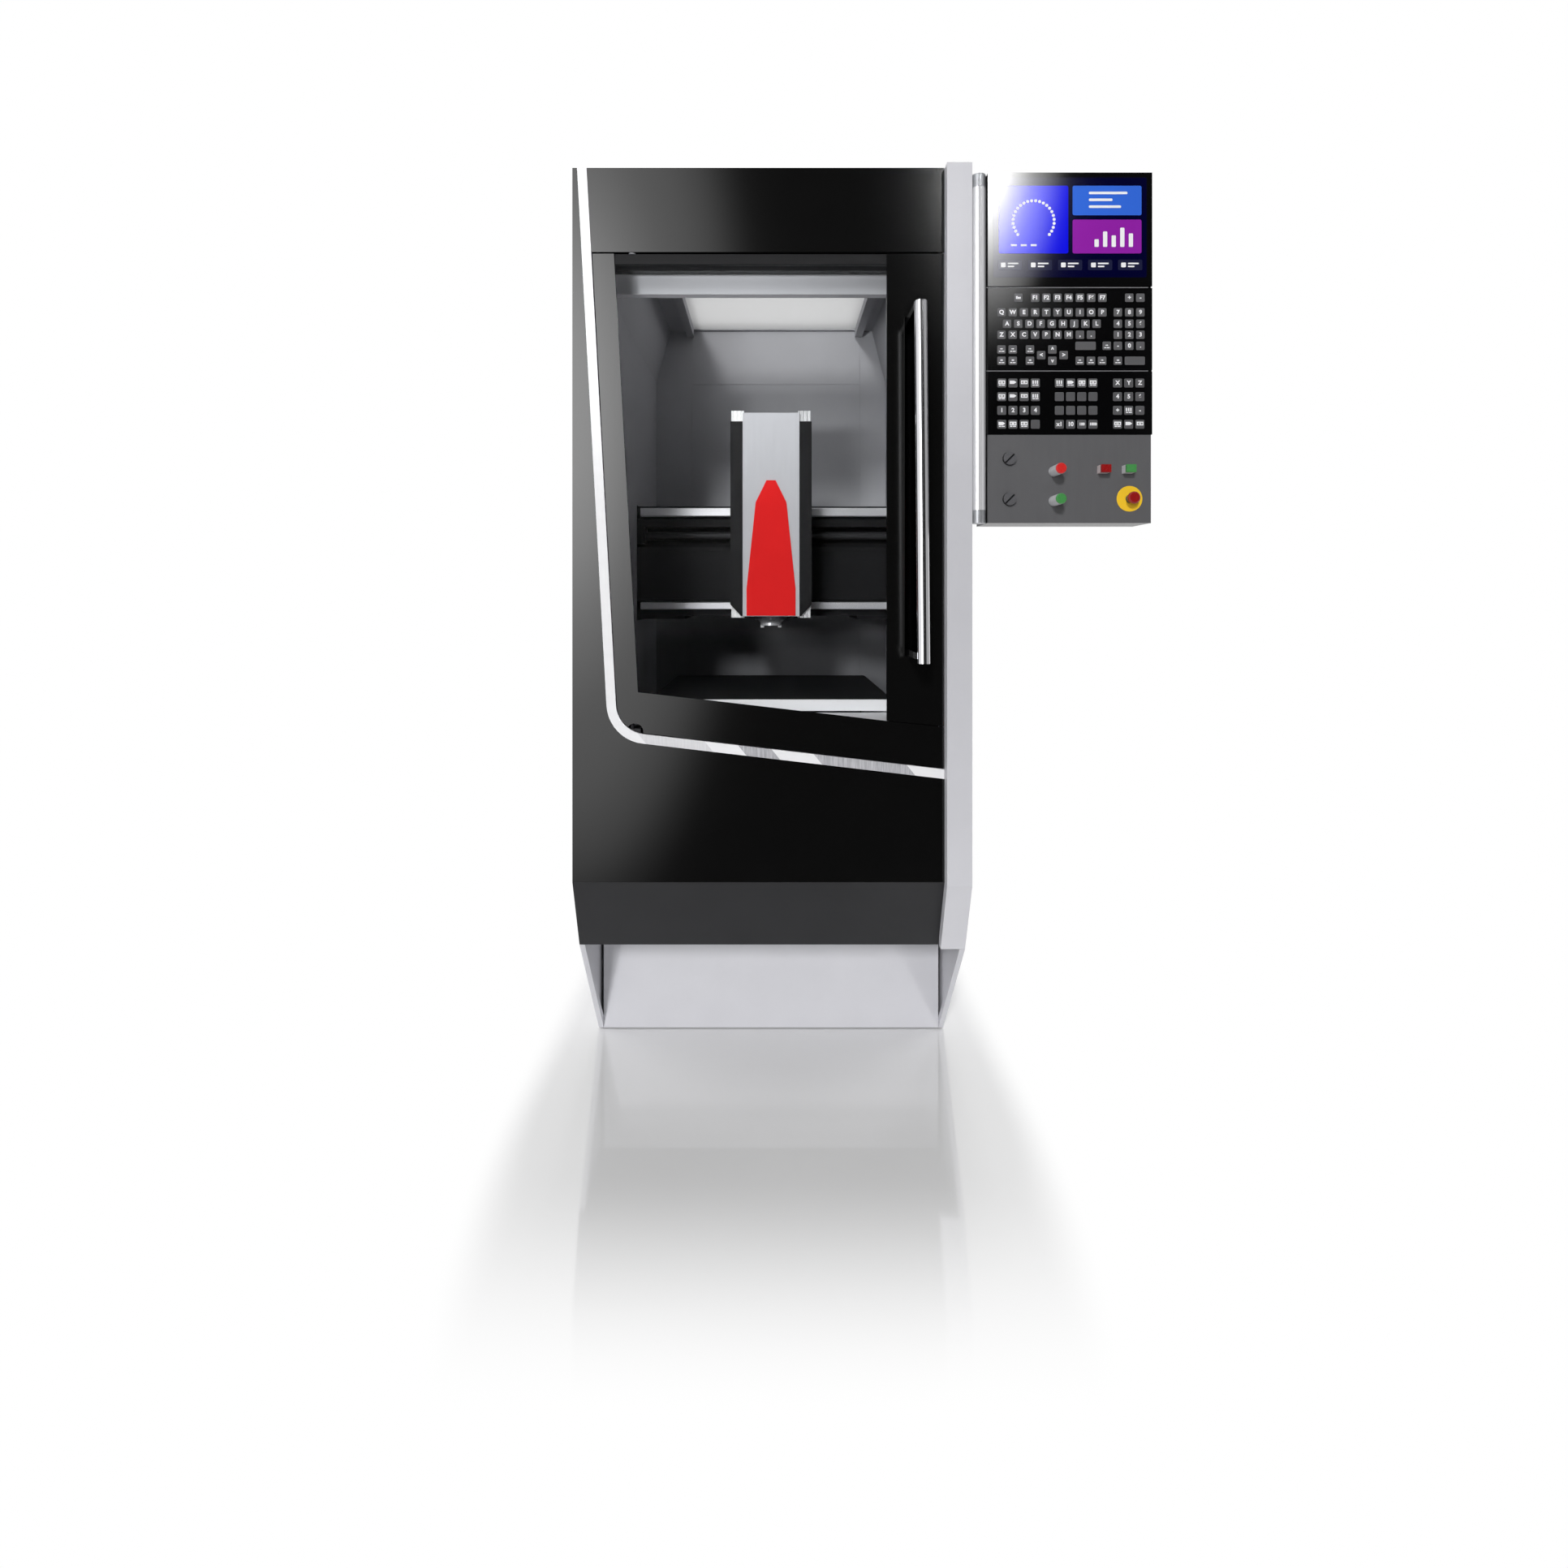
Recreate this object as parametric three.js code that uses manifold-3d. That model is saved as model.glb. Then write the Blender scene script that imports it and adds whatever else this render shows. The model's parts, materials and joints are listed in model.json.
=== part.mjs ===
// Compact vertical machining centre: enclosure, swing door, cross beam, spindle head,
// work table, operator pendant and rear control cabinet.
// Millimetres, +Z up, +X to the right of someone facing the door, +Y towards the back.
// The origin is on the floor under the front levelling pad, on the cabinet's centre plane.
import * as THREE from 'three';
import { mergeVertices } from 'three/addons/utils/BufferGeometryUtils.js';
import Module from 'manifold-3d';

const wasm = await Module();
wasm.setup();

// Driving dimensions of the cabinet
const cabinetWidth = 940;
const cabinetHeight = 2194;
const cabinetDepth = 1250;
const padSetback = 350;
const floorClearance = 3;
const seat = 0.3;
const skin = 4;
const sheet = 3;
const foldedEdge = 13;
const cutOverrun = 5;
const joinLap = 1;
const mergeTolerance = 1e-4;

// Front profile, from the plane of the black fascia
const fasciaFoot = 504;
const bandFoot = 326;
const bandSetback = 63.5;
const baseSetback = 263;
const basePanelFold = 21.7;
const stepInsetShare = 0.4;
const kinkInsetShare = 1.2;

// Right-hand column
const columnWidth = 59;
const columnProud = 22.6;
const columnDepth = 80.6;
const columnWall = 4;
const columnReveal = 1;

// Bent accent strip, described by its outer edge
const stripWidth = 22.3;
const stripProud = 1;
const stripTopInset = 11.3;
const stripRunLean = 0.0547;
const stripFootSlope = 0.117;
const stripFootHeight = 819.1;
const stripFootAt = -192;
const stripBend = 96;
const arcSteps = 10;

// Door and the header above it
const headerHeight = 199;
const headerFoot = cabinetHeight - headerHeight;
const doorHeadGap = 4;
const doorTop = headerFoot - doorHeadGap;
const doorGap = 2.5;
const doorCorner = 90;
const doorSkin = 6;
const doorFrameBack = 36;
const doorFrameInset = 10;
const doorTopRail = 24;
const windowTopLeft = -372;
const windowFootLeft = -315;
const windowFootLeftRise = 134.4;
const windowFootLeftHeight = stripFootHeight + windowFootLeftRise;
const windowRight = 273.6;
const windowFootRightRise = 65.9;
const windowFootRightHeight = stripFootHeight + windowFootRightRise;
const stileFootDrop = 14;
const frameReveal = 6;
const glassThickness = 6;
const glassLap = 14;
const glassFootLap = 14;
const pivotX = -330;
const pivotSetback = 11.5;
const pivotRadius = 4.5;
const pivotClearance = 0.4;
const pivotReach = 20;
const pivotBlock = 40;
const pivotBlockDepth = 20;
const pivotBlockHeight = 82;
const pivotShoulder = 26;
const pivotPinRise = 46.9;
const pivotPinFoot = stripFootHeight + pivotPinRise;
const pivotPinLength = 39;
const pivotPinTop = pivotPinFoot + pivotPinLength;
const pivotReliefRadius = 20;
const pivotReliefShift = 8;
const pivotReliefDrop = 6;

// Door handle
const handleX = 334;
const handleFootX = 339;
const handleStandOff = 95;
const handleFootStandOff = 105;
const handleTopDrop = 152;
const handleTop = doorTop - handleTopDrop;
const handleFootRise = 146;
const handleFoot = windowFootRightHeight + handleFootRise;
const handleDiameter = 28;
const handlePostHeight = 14.5;
const handleFootOverhang = 10;
const handlePostWidth = 26;
const handleBaseWidth = 38;
const handleBaseThickness = 4;

// Inner enclosure, hung below the roof
const roofSpace = 45;
const ceilingHeight = cabinetHeight - roofSpace;
const beamFront = 120;
const beamDepth = 22;
const beamDrop = 140;
const beamHeight = 64;
const beamTop = ceilingHeight - beamDrop;
const beamFoot = beamTop - beamHeight;
const innerHalfWidth = 418;
const innerFront = 62;
const innerBack = 925;
const coveHeight = 189;
const coveStart = ceilingHeight - coveHeight;
const coveInset = 50;
const roofOpeningLeft = -280;
const roofOpeningRight = 305;
const roofOpeningFront = 300;
const roofOpeningBackMargin = 10;
const roofLipWidth = 25;
const roofLipDrop = 26;
const roofWindowThickness = 5;
const roofWindowLap = 12;
const roofTrayDepth = 30;
const rearPanelLeft = -290;
const rearPanelRight = 326;
const rearPanelDrop = 197;
const rearPanelFoot = ceilingHeight - rearPanelDrop;
const seamWidth = 2.5;

// Bed casting
const bedHalfWidth = 452;
const bedFront = 285;
const bedUnderside = 60;
const bedTop = 760;
const bedRear = 1240;
const bedStepHeight = 400;
const bedStepAt = 965;
const sideFrameThickness = 26;
const sideFrameFront = 500;
const bedRib = 30;
const bedDeck = 90;
const bedRows = 2;
const yRailOffset = 220;
const yRailWidth = 30;
const yRailHeight = 30;
const yRailFront = 300;
const yRailBack = 920;

// Levelling pads
const padRadius = 60;
const padHeight = 18;
const padStud = 16;
const padShoulderShare = 2;
const padLandShare = 2.5;
const rearPadSpread = 660;
const rearPadAt = 1150;
const roundSides = 24;

// Sill, chip tray and the foot of the inner walls
const sillRise = 111;
const sillTop = bedTop + sillRise;
const innerFootRise = 15;
const innerFoot = bedTop + innerFootRise;
const sillFront = 40;
const sillBack = 214;
const traySideWidth = 150;

// Work table and its carriage
const tableWidth = 650;
const tableFront = 217;
const tableDepth = 593;
const tableRise = 145;
const tableTop = bedTop + tableRise;
const tableThickness = 30;
const tableEdge = 3;
const carriageHalfWidth = 270;
const carriageFront = 342;
const carriageLength = 438;
const carriageLift = 6;
const carriageArch = 40;
const railClearance = 0.5;

// Cross beam, X rails and X screw
const beamFace = 552;
const bridgeBack = 780;
const bridgeFoot = 1120;
const bridgeHeight = 342;
const bridgeTop = bridgeFoot + bridgeHeight;
const sideFrameRise = 38;
const sideFrameTop = bridgeTop + sideFrameRise;
const bridgeCoverFace = 562;
const bridgeCoverRise = 50;
const bridgeCoverFoot = bridgeFoot + bridgeCoverRise;
const bridgeCoverHeight = 152;
const bridgeCoverTop = bridgeCoverFoot + bridgeCoverHeight;
const bridgeCoverBevel = 4;
const bridgeCoverBevelRise = 14;
const bridgeCoverLip = 12;
const bridgeStepFace = 545;
const bridgeFootLedge = 10;
const bridgeFootLedgeStart = 269;
const screwRecessRise = 24;
const screwRecessFoot = bridgeCoverTop + screwRecessRise;
const screwRecessHeight = 51;
const screwRecessTop = screwRecessFoot + screwRecessHeight;
const screwRecessDepth = 600;
const railFace = 530;
const upperRailDrop = 7;
const upperRailHeight = 26;
const upperRailTop = bridgeTop - upperRailDrop;
const upperRailFoot = upperRailTop - upperRailHeight;
const lowerRailRise = 20;
const lowerRailHeight = 22;
const lowerRailFoot = bridgeFoot + lowerRailRise;
const lowerRailTop = lowerRailFoot + lowerRailHeight;
const railHalfLength = 405;
const railGroove = 4;
const screwRadius = 12.5;
const screwJournal = 8;
const screwJournalClearance = 1.2;
const screwSetback = 578;
const screwHalfLength = 394;
const screwBearing = 30;
const screwSides = 16;

// Saddle
const saddleHalfWidth = 100;
const saddleFront = 470;
const saddleBack = 515;
const saddleHeight = 480;
const saddleFoot = bridgeFoot;
const saddleTop = saddleFoot + saddleHeight;
const blockReach = 543;
const blockLip = 21;
const nutHalfLength = 35;
const nutMargin = 3;
const nutClearance = 1;
const zBlockHeight = 80;
const lowerZBlockRise = 180;
const lowerZBlock = saddleFoot + lowerZBlockRise;
const zBlockPitch = 200;
const upperZBlock = lowerZBlock + zBlockPitch;
const zBlockHalfWidth = 26;

// Spindle head, set by the gap between the spindle's face and the table
const spindleGap = 192;
const spindleFace = tableTop + spindleGap;
const spindleNose = 16;
const spindleFlangeFoot = spindleFace + spindleNose;
const spindleFlangeHeight = 11;
const headFront = 330;
const headBack = 440;
const headHeight = 575;
const headFoot = spindleFlangeFoot + spindleFlangeHeight;
const headTop = headFoot + headHeight;
const headHalfWidth = 115;
const coverHalfWidth = 80;
const coverThickness = 8;
const coreHalfWidth = 75;
const coreInset = 6;
const shieldThickness = 2.7;
const shieldRise = 2;
const shieldWaistHeight = 77;
const shieldTaperHeight = 243;
const shieldTipHeight = 62;
const shieldFoot = headFoot + shieldRise;
const shieldWaist = shieldFoot + shieldWaistHeight;
const shieldShoulder = shieldWaist + shieldTaperHeight;
const shieldTop = shieldShoulder + shieldTipHeight;
const shieldTopHalf = 12.8;
const shieldShoulderHalf = 43.3;
const shieldFootHalf = 69;
const sideCoverTopDrop = 24;
const sideCoverTop = headTop - sideCoverTopDrop;
const sideCoverRise = 1;
const sideCoverFoot = headFoot + sideCoverRise;
const sideCoverChamfer = 33;
const sideCoverSheet = 2.5;
const guideTopRise = 8;
const guideTop = headTop + guideTopRise;
const guideFootDrop = 4;
const guideFoot = headFoot - guideFootDrop;
const guideClearance = 1.9;
const guideFluteRadius = 3.4;
const guideFluteSteps = 4;
const flutePitchShare = 3;
const zRailOffset = 60;
const zRailWidth = 20;
const zRailHeight = 24;

// Spindle
const spindleFlangeRadius = 50;
const spindleNeckRadius = 45;
const spindleRadius = 30;
const spindleClearance = 1.2;
const spindleLength = 83;
const spindleTop = spindleFace + spindleLength;
const keyDrop = 6.5;
const keyWidth = 10;
const keyInner = 20;
const socketMouth = 16;
const socketFloor = 11;
const socketDepth = 45;

// Pendant
const tubeX = 488.6;
const tubeRadius = 17.5;
const tubeSetback = -4.5;
const tubeBore = 8.5;
const pendantPin = 8;
const pendantFoot = 1352;
const controlPanelHeight = 206.5;
const keyPanelFoot = pendantFoot + controlPanelHeight;
const keySplitRise = 148.5;
const keySplit = keyPanelFoot + keySplitRise;
const keyPanelHeight = 346;
const displayFoot = keyPanelFoot + keyPanelHeight;
const displayHeight = 265.5;
const pendantTop = displayFoot + displayHeight;
const knuckleHeight = 30;
const pendantRight = 890;
const pendantFront = -22;
const pendantBack = 70;
const pendantWall = 3;
const pendantPanel = 5.7;
const panelSeam = 4;
const seamDepth = 2;
const controlPanelDrop = 2;
const bracketPlate = 5.5;
const bracketBack = 66;
const bracketFront = 16;

// Controls on the lower pendant panel, each set by its rise above the pendant's foot
const controlDepth = 14;
const controlClearance = 0.6;
const roundButtonX = 661.4;
const stopButtonRise = 120.7;
const startButtonRise = 51.4;
const stopButtonZ = pendantFoot + stopButtonRise;
const startButtonZ = pendantFoot + startButtonRise;
const roundButtonRadius = 12.3;
const roundButtonLength = 43;
const buttonBevel = 2;
const squareButtonRise = 124.1;
const squareButtonZ = pendantFoot + squareButtonRise;
const powerOffX = 773.9;
const powerOnX = 831.7;
const squareButtonWidth = 22.5;
const squareButtonHeight = 17.8;
const squareButtonLength = 20.6;
const emergencyX = 837.8;
const emergencyRise = 56.4;
const emergencyZ = pendantFoot + emergencyRise;
const emergencyHeadRadius = 14;
const emergencyHeadLength = 12;
const emergencyRimShare = 0.8;
const emergencyCrownShare = 0.75;
const emergencyStemRadius = 9;
const emergencyStemProud = 12;
const rotaryX = 556.8;
const rotaryUpperRise = 150;
const rotaryLowerRise = 55.4;
const rotaryUpperZ = pendantFoot + rotaryUpperRise;
const rotaryLowerZ = pendantFoot + rotaryLowerRise;
const rotaryRadius = 15;
const rotaryProud = 5;
const rotarySlot = 4;
const rotarySlotDepth = 2.5;

// Rear control cabinet
const electricFront = 985;
const electricRise = 2;
const electricFoot = bedStepHeight + electricRise;
const electricWall = 3;
const cabinetDoorThickness = 25;
const cabinetDoorWall = 3;
const cabinetDoorFoot = electricFoot;
const latchX = -420;
const latchZ = 1250;
const latchLength = 120;
const latchWidth = 26;
const latchThickness = 14;
const latchHub = 18;
const leverShare = 1.5;
const platePitch = 220;
const moduleRowShare = 1.6;
const moduleHalfShare = 0.38;
const moduleDepth = 90;
const plateThickness = 4;
const plateMargin = 60;
const plateStandOff = 20;

const halfWidth = cabinetWidth / 2;
const columnLeft = halfWidth - columnWidth;
const fasciaRight = columnLeft - columnReveal;
const doorRight = fasciaRight - doorGap + columnReveal;
const at = (setback) => setback - padSetback;

const root = new THREE.Group();

function paint(color, roughness, metalness) {
  return { color, roughness, metalness };
}
const gloss = paint(0x0d0d0d, 0.2, 0);
const bandGrey = paint(0x2f2f30, 0.5, 0);
const lightGrey = paint(0xcbcbcf, 0.55, 0);
const innerGrey = paint(0xa5a5aa, 0.6, 0);
const castGrey = paint(0x3c3e42, 0.7, 0.2);
const darkGrey = paint(0x161616, 0.6, 0);
const steel = paint(0xb9bbbf, 0.3, 0.9);
const brightSteel = paint(0xd8d9dc, 0.22, 0.95);
const stripSilver = paint(0xeeeef1, 0.3, 0.6);
const headSilver = paint(0xc0c0c5, 0.35, 0.5);
const shieldRed = paint(0xd62728, 0.5, 0);
const clearGlass = paint(0xdfe6e8, 0.05, 0);
const frosted = paint(0xe2e2e2, 0.8, 0);
const screenBlack = paint(0x101012, 0.15, 0);
const panelGrey = paint(0x5d5d5f, 0.5, 0.1);
const stopRed = paint(0xd42b2a, 0.35, 0);
const startGreen = paint(0x49904d, 0.35, 0);
const deepRed = paint(0x921718, 0.35, 0);
const tableDark = paint(0x1c1c1d, 0.75, 0.1);

function add(name, geometry, finish, x = 0, y = 0, z = 0) {
  const mesh = new THREE.Mesh(geometry, new THREE.MeshStandardMaterial(finish));
  mesh.name = name;
  mesh.position.set(x, y, z);
  root.add(mesh);
  return mesh;
}

// Geometry helpers: a block between two corners, and prisms along each axis
const axisX = new THREE.Vector3(1, 0, 0);
const axisY = new THREE.Vector3(0, 1, 0);
const axisZ = new THREE.Vector3(0, 0, 1);

function block(x0, x1, y0, y1, z0, z1) {
  const geometry = new THREE.BoxGeometry(x1 - x0, y1 - y0, z1 - z0);
  return geometry.translate((x0 + x1) / 2, (y0 + y1) / 2, (z0 + z1) / 2);
}

function extrude(points, length) {
  const outline = new THREE.Shape(points.map(([u, v]) => new THREE.Vector2(u, v)));
  return new THREE.ExtrudeGeometry(outline, { depth: length, bevelEnabled: false });
}

function prismX(points, x0, x1) {
  const turn = new THREE.Matrix4().makeBasis(axisY, axisZ, axisX);
  return extrude(points, x1 - x0).applyMatrix4(turn).translate(x0, 0, 0);
}

function prismY(points, y0, y1) {
  const turn = new THREE.Matrix4().makeBasis(axisX, axisZ, axisY.clone().negate());
  return extrude(points, y1 - y0).applyMatrix4(turn).translate(0, y1, 0);
}

function prismZ(points, z0, z1) {
  return extrude(points, z1 - z0).translate(0, 0, z0);
}

function rod(radius, length, sides = roundSides) {
  const profile = [[0, 0], [radius, 0], [radius, length], [0, length]];
  return revolve(profile, sides);
}

// A body turned about Z from its profile of radius and height
function revolve(profile, sides = roundSides) {
  const points = profile.map(([radius, height]) => new THREE.Vector2(radius, height));
  return new THREE.LatheGeometry(points, sides).rotateX(Math.PI / 2);
}

const alongX = (geometry) => geometry.rotateY(Math.PI / 2);
const alongY = (geometry) => geometry.rotateX(-Math.PI / 2);
const towardsFront = (geometry) => geometry.rotateX(Math.PI / 2);

// Joins and cuts
function toSolid(geometry) {
  const bare = geometry.clone();
  bare.deleteAttribute('normal');
  bare.deleteAttribute('uv');
  const merged = mergeVertices(bare, mergeTolerance);
  const vertProperties = new Float32Array(merged.attributes.position.array);
  const triVerts = new Uint32Array(merged.index.array);
  const mesh = new wasm.Mesh({ numProp: 3, vertProperties, triVerts });
  return new wasm.Manifold(mesh);
}

function fromSolid(solid) {
  const mesh = solid.getMesh();
  const geometry = new THREE.BufferGeometry();
  geometry.setAttribute('position', new THREE.BufferAttribute(new Float32Array(mesh.vertProperties), 3));
  geometry.setIndex(new THREE.BufferAttribute(new Uint32Array(mesh.triVerts), 1));
  geometry.computeVertexNormals();
  return geometry;
}

function shape(base, joined = [], cuts = []) {
  let solid = toSolid(base);
  for (const piece of joined) solid = solid.add(toSolid(piece));
  for (const cut of cuts) solid = solid.subtract(toSolid(cut));
  return fromSolid(solid);
}

const mirrored = (points) => points.map(([u, v]) => [-u, v]).reverse();

// An edge that runs down the left of the front, bends, and runs down to the right.
// offset moves it inwards from the accent strip's outer edge; radius is its bend.
function bentEdge(offset, radius, topHeight, rightX) {
  const lean = Math.atan(stripRunLean);
  const slope = Math.atan(stripFootSlope);
  const sideNormal = new THREE.Vector2(Math.cos(lean), Math.sin(lean));
  const footNormal = new THREE.Vector2(Math.sin(slope), Math.cos(slope));
  const sideAnchor = new THREE.Vector2(stripTopInset - halfWidth, cabinetHeight);
  const footAnchor = new THREE.Vector2(stripFootAt, stripFootHeight);
  const onBoth = (distance) => {
    const a = sideNormal.dot(sideAnchor) + distance;
    const b = footNormal.dot(footAnchor) + distance;
    const det = sideNormal.x * footNormal.y - sideNormal.y * footNormal.x;
    const x = (a * footNormal.y - b * sideNormal.y) / det;
    const z = (sideNormal.x * b - footNormal.x * a) / det;
    return new THREE.Vector2(x, z);
  };
  const centre = onBoth(offset + radius);
  const topX = (sideNormal.dot(sideAnchor) + offset - sideNormal.y * topHeight) / sideNormal.x;
  const rightZ = (footNormal.dot(footAnchor) + offset - footNormal.x * rightX) / footNormal.y;
  const start = Math.atan2(-sideNormal.y, -sideNormal.x) + 2 * Math.PI;
  const end = Math.atan2(-footNormal.y, -footNormal.x) + 2 * Math.PI;
  const points = [[topX, topHeight]];
  for (let i = 0; i <= arcSteps; i += 1) {
    const angle = start + ((end - start) * i) / arcSteps;
    points.push([centre.x + radius * Math.cos(angle), centre.y + radius * Math.sin(angle)]);
  }
  points.push([rightX, rightZ]);
  return points;
}

// Levelling pads: a disc with its stud up to the bed
function makePads() {
  const profile = [
    [0, 0], [padRadius, 0], [padRadius, padHeight / 2], [padStud * padShoulderShare, padHeight],
    [padStud, padHeight], [padStud, bedUnderside - seat], [0, bedUnderside - seat],
  ];
  add('front_pad', revolve(profile), steel);
  add('rear_pad_left', revolve(profile), steel, -rearPadSpread / 2, at(rearPadAt));
  add('rear_pad_right', revolve(profile), steel, rearPadSpread / 2, at(rearPadAt));
}

// Ribbed bed with the Y rails on its deck and the side frames that carry the cross beam
function makeBed() {
  const profile = [
    [at(bedFront), bedUnderside], [at(bedRear), bedUnderside], [at(bedRear), bedStepHeight],
    [at(bedStepAt), bedStepHeight], [at(bedStepAt), bedTop], [at(bedFront), bedTop],
  ];
  const body = prismX(profile, -bedHalfWidth, bedHalfWidth);
  const joined = [];
  const cuts = [];
  for (const side of [-1, 1]) {
    const inner = side * (bedHalfWidth - sideFrameThickness);
    const outer = side * bedHalfWidth;
    const low = Math.min(inner, outer);
    const high = Math.max(inner, outer);
    joined.push(block(low, high, at(sideFrameFront), at(bedStepAt), bedTop - bedRib, sideFrameTop));
    const railInner = side > 0 ? yRailOffset - yRailWidth / 2 : -yRailOffset - yRailWidth / 2;
    joined.push(block(
      railInner, railInner + yRailWidth, at(yRailFront), at(yRailBack),
      bedTop - bedRib, bedTop + yRailHeight,
    ));
    const left = side > 0 ? bedRib : bedRib - bedHalfWidth;
    const right = side > 0 ? bedHalfWidth - bedRib : -bedRib;
    const rowLength = (bedStepAt - bedFront) / bedRows;
    for (let row = 0; row < bedRows; row += 1) {
      const start = bedFront + row * rowLength + bedRib;
      const end = bedFront + (row + 1) * rowLength - bedRib / 2;
      cuts.push(block(left, right, at(start), at(end), bedUnderside - cutOverrun, bedTop - bedDeck));
    }
    cuts.push(block(
      left, right, at(bedStepAt + bedRib), at(bedRear - bedRib),
      bedUnderside - cutOverrun, bedStepHeight - bedDeck,
    ));
  }
  const padLands = [[0, 0], [-rearPadSpread / 2, at(rearPadAt)], [rearPadSpread / 2, at(rearPadAt)]];
  const landHalf = padStud * padLandShare;
  const lands = padLands.map(([x, y]) => block(
    x - landHalf, x + landHalf, y - landHalf, y + landHalf, bedUnderside, bedUnderside + bedDeck,
  ));
  const webs = padLands.map(([x, y]) => block(
    x - bedRib / 2, x + bedRib / 2, y - padStud * padShoulderShare, y + padStud * padShoulderShare,
    bedUnderside, bedStepHeight - bedDeck + cutOverrun,
  ));
  const ribbed = shape(body, joined, cuts);
  add('bed_casting', shape(ribbed, [...lands, ...webs]), castGrey);
}

// The side panel's outline, pulled in all round by inset
function sideProfile(proud, frontFold, inset) {
  const kink = bandSetback - proud;
  return [
    [at(frontFold + inset), cabinetHeight - inset],
    [at(frontFold + inset), fasciaFoot],
    [at(kink + frontFold + inset), bandFoot - seat + inset * stepInsetShare],
    [at(kink + inset * kinkInsetShare), bandFoot - seat - inset],
    [at(baseSetback + inset), floorClearance + inset],
    [at(cabinetDepth - inset), floorClearance + inset],
    [at(cabinetDepth - inset), cabinetHeight - inset],
  ];
}

function makeSides() {
  const left = -halfWidth;
  const leftTray = prismX(sideProfile(0, skin + seat, 0), left, left + foldedEdge);
  const leftHollow = prismX(
    sideProfile(0, skin + seat, foldedEdge), left + sheet, left + foldedEdge + cutOverrun,
  );
  add('side_panel_left', shape(leftTray, [], [leftHollow]), lightGrey);
  const columnBack = columnDepth - columnProud;
  const rightFold = columnBack + seat;
  const rightProfile = (inset) => [
    [at(rightFold + inset), cabinetHeight - inset],
    [at(rightFold + inset), bandFoot - seat - inset],
    [at(bandSetback - columnProud + inset * kinkInsetShare), bandFoot - seat - inset],
    [at(baseSetback + inset), floorClearance + inset],
    [at(cabinetDepth - inset), floorClearance + inset],
    [at(cabinetDepth - inset), cabinetHeight - inset],
  ];
  const right = halfWidth - foldedEdge;
  const rightTray = prismX(rightProfile(0), right, halfWidth);
  const rightHollow = prismX(rightProfile(foldedEdge), right - cutOverrun, halfWidth - sheet);
  add('side_panel_right', shape(rightTray, [], [rightHollow]), lightGrey);
}

function makeColumn() {
  const back = columnDepth - columnProud;
  const profile = (wall) => [
    [at(wall - columnProud), cabinetHeight - wall],
    [at(wall - columnProud), fasciaFoot],
    [at(bandSetback - columnProud + wall), bandFoot - (wall ? cutOverrun : 0)],
    [at(back - wall), bandFoot - (wall ? cutOverrun : 0)],
    [at(back - wall), cabinetHeight - wall],
  ];
  const outer = prismX(profile(0), columnLeft, halfWidth);
  const inner = prismX(profile(columnWall), columnLeft + columnWall, halfWidth - columnWall);
  add('right_column', shape(outer, [], [inner]), lightGrey);
}

function makeFront() {
  const fasciaEdge = bentEdge(-seat, stripBend + seat, cabinetHeight, fasciaRight);
  const fascia = [
    [-halfWidth, cabinetHeight], [-halfWidth, fasciaFoot + seat], [fasciaRight, fasciaFoot + seat],
    ...fasciaEdge.slice().reverse(),
  ];
  add('fascia_panel', prismY(fascia, at(0), at(skin)), gloss);

  const outerEdge = bentEdge(0, stripBend, cabinetHeight, fasciaRight);
  const innerEdge = bentEdge(stripWidth, stripBend - stripWidth, cabinetHeight, fasciaRight);
  const strip = [...outerEdge, ...innerEdge.reverse()];
  add('accent_strip', prismY(strip, at(-stripProud), at(skin)), stripSilver);

  const bandSheet = [
    [at(0), fasciaFoot], [at(bandSetback), bandFoot],
    [at(bandSetback + skin), bandFoot], [at(skin), fasciaFoot],
  ];
  const soffit = block(
    foldedEdge + seat - halfWidth, fasciaRight, at(bandSetback), at(baseSetback - seat),
    bandFoot, bandFoot + sheet,
  );
  add('lower_band', shape(prismX(bandSheet, -halfWidth, fasciaRight), [soffit]), bandGrey);

  const headerEdge = bentEdge(stripWidth + seat, stripBend, cabinetHeight, fasciaRight);
  const topX = headerEdge[0][0];
  const footX = topX + (cabinetHeight - headerFoot) * stripRunLean;
  const header = [
    [topX, cabinetHeight], [footX, headerFoot],
    [fasciaRight, headerFoot], [fasciaRight, cabinetHeight],
  ];
  const flangeHalf = coveAt(headerFoot + sheet) - seat * 2;
  const returnFlange = block(
    -flangeHalf, flangeHalf, at(skin / 2), at(beamFront - seat), headerFoot, headerFoot + sheet,
  );
  add('header_panel', shape(prismY(header, at(0), at(skin)), [returnFlange]), gloss);

  const basePanel = block(
    foldedEdge + seat - halfWidth, halfWidth - foldedEdge - seat,
    at(baseSetback), at(baseSetback + basePanelFold), floorClearance, bandFoot - seat,
  );
  const baseHollow = block(
    foldedEdge * 2 - halfWidth, halfWidth - foldedEdge * 2,
    at(baseSetback + sheet), at(baseSetback + basePanelFold + cutOverrun),
    floorClearance + foldedEdge, bandFoot - foldedEdge,
  );
  add('base_front_panel', shape(basePanel, [], [baseHollow]), lightGrey);
}

// Half the width between the inner walls, which lean in above coveStart
function coveAt(z) {
  return innerHalfWidth - (coveInset * Math.max(0, z - coveStart)) / (ceilingHeight - coveStart);
}

// Straight lines of the window's left and lower edges
function windowLeftAt(z) {
  const share = (z - windowFootLeftHeight) / (headerFoot - windowFootLeftHeight);
  return windowFootLeft + (windowTopLeft - windowFootLeft) * share;
}

function windowFootAt(x) {
  const share = (x - windowFootLeft) / (windowRight - windowFootLeft);
  return windowFootLeftHeight + (windowFootRightHeight - windowFootLeftHeight) * share;
}

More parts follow.
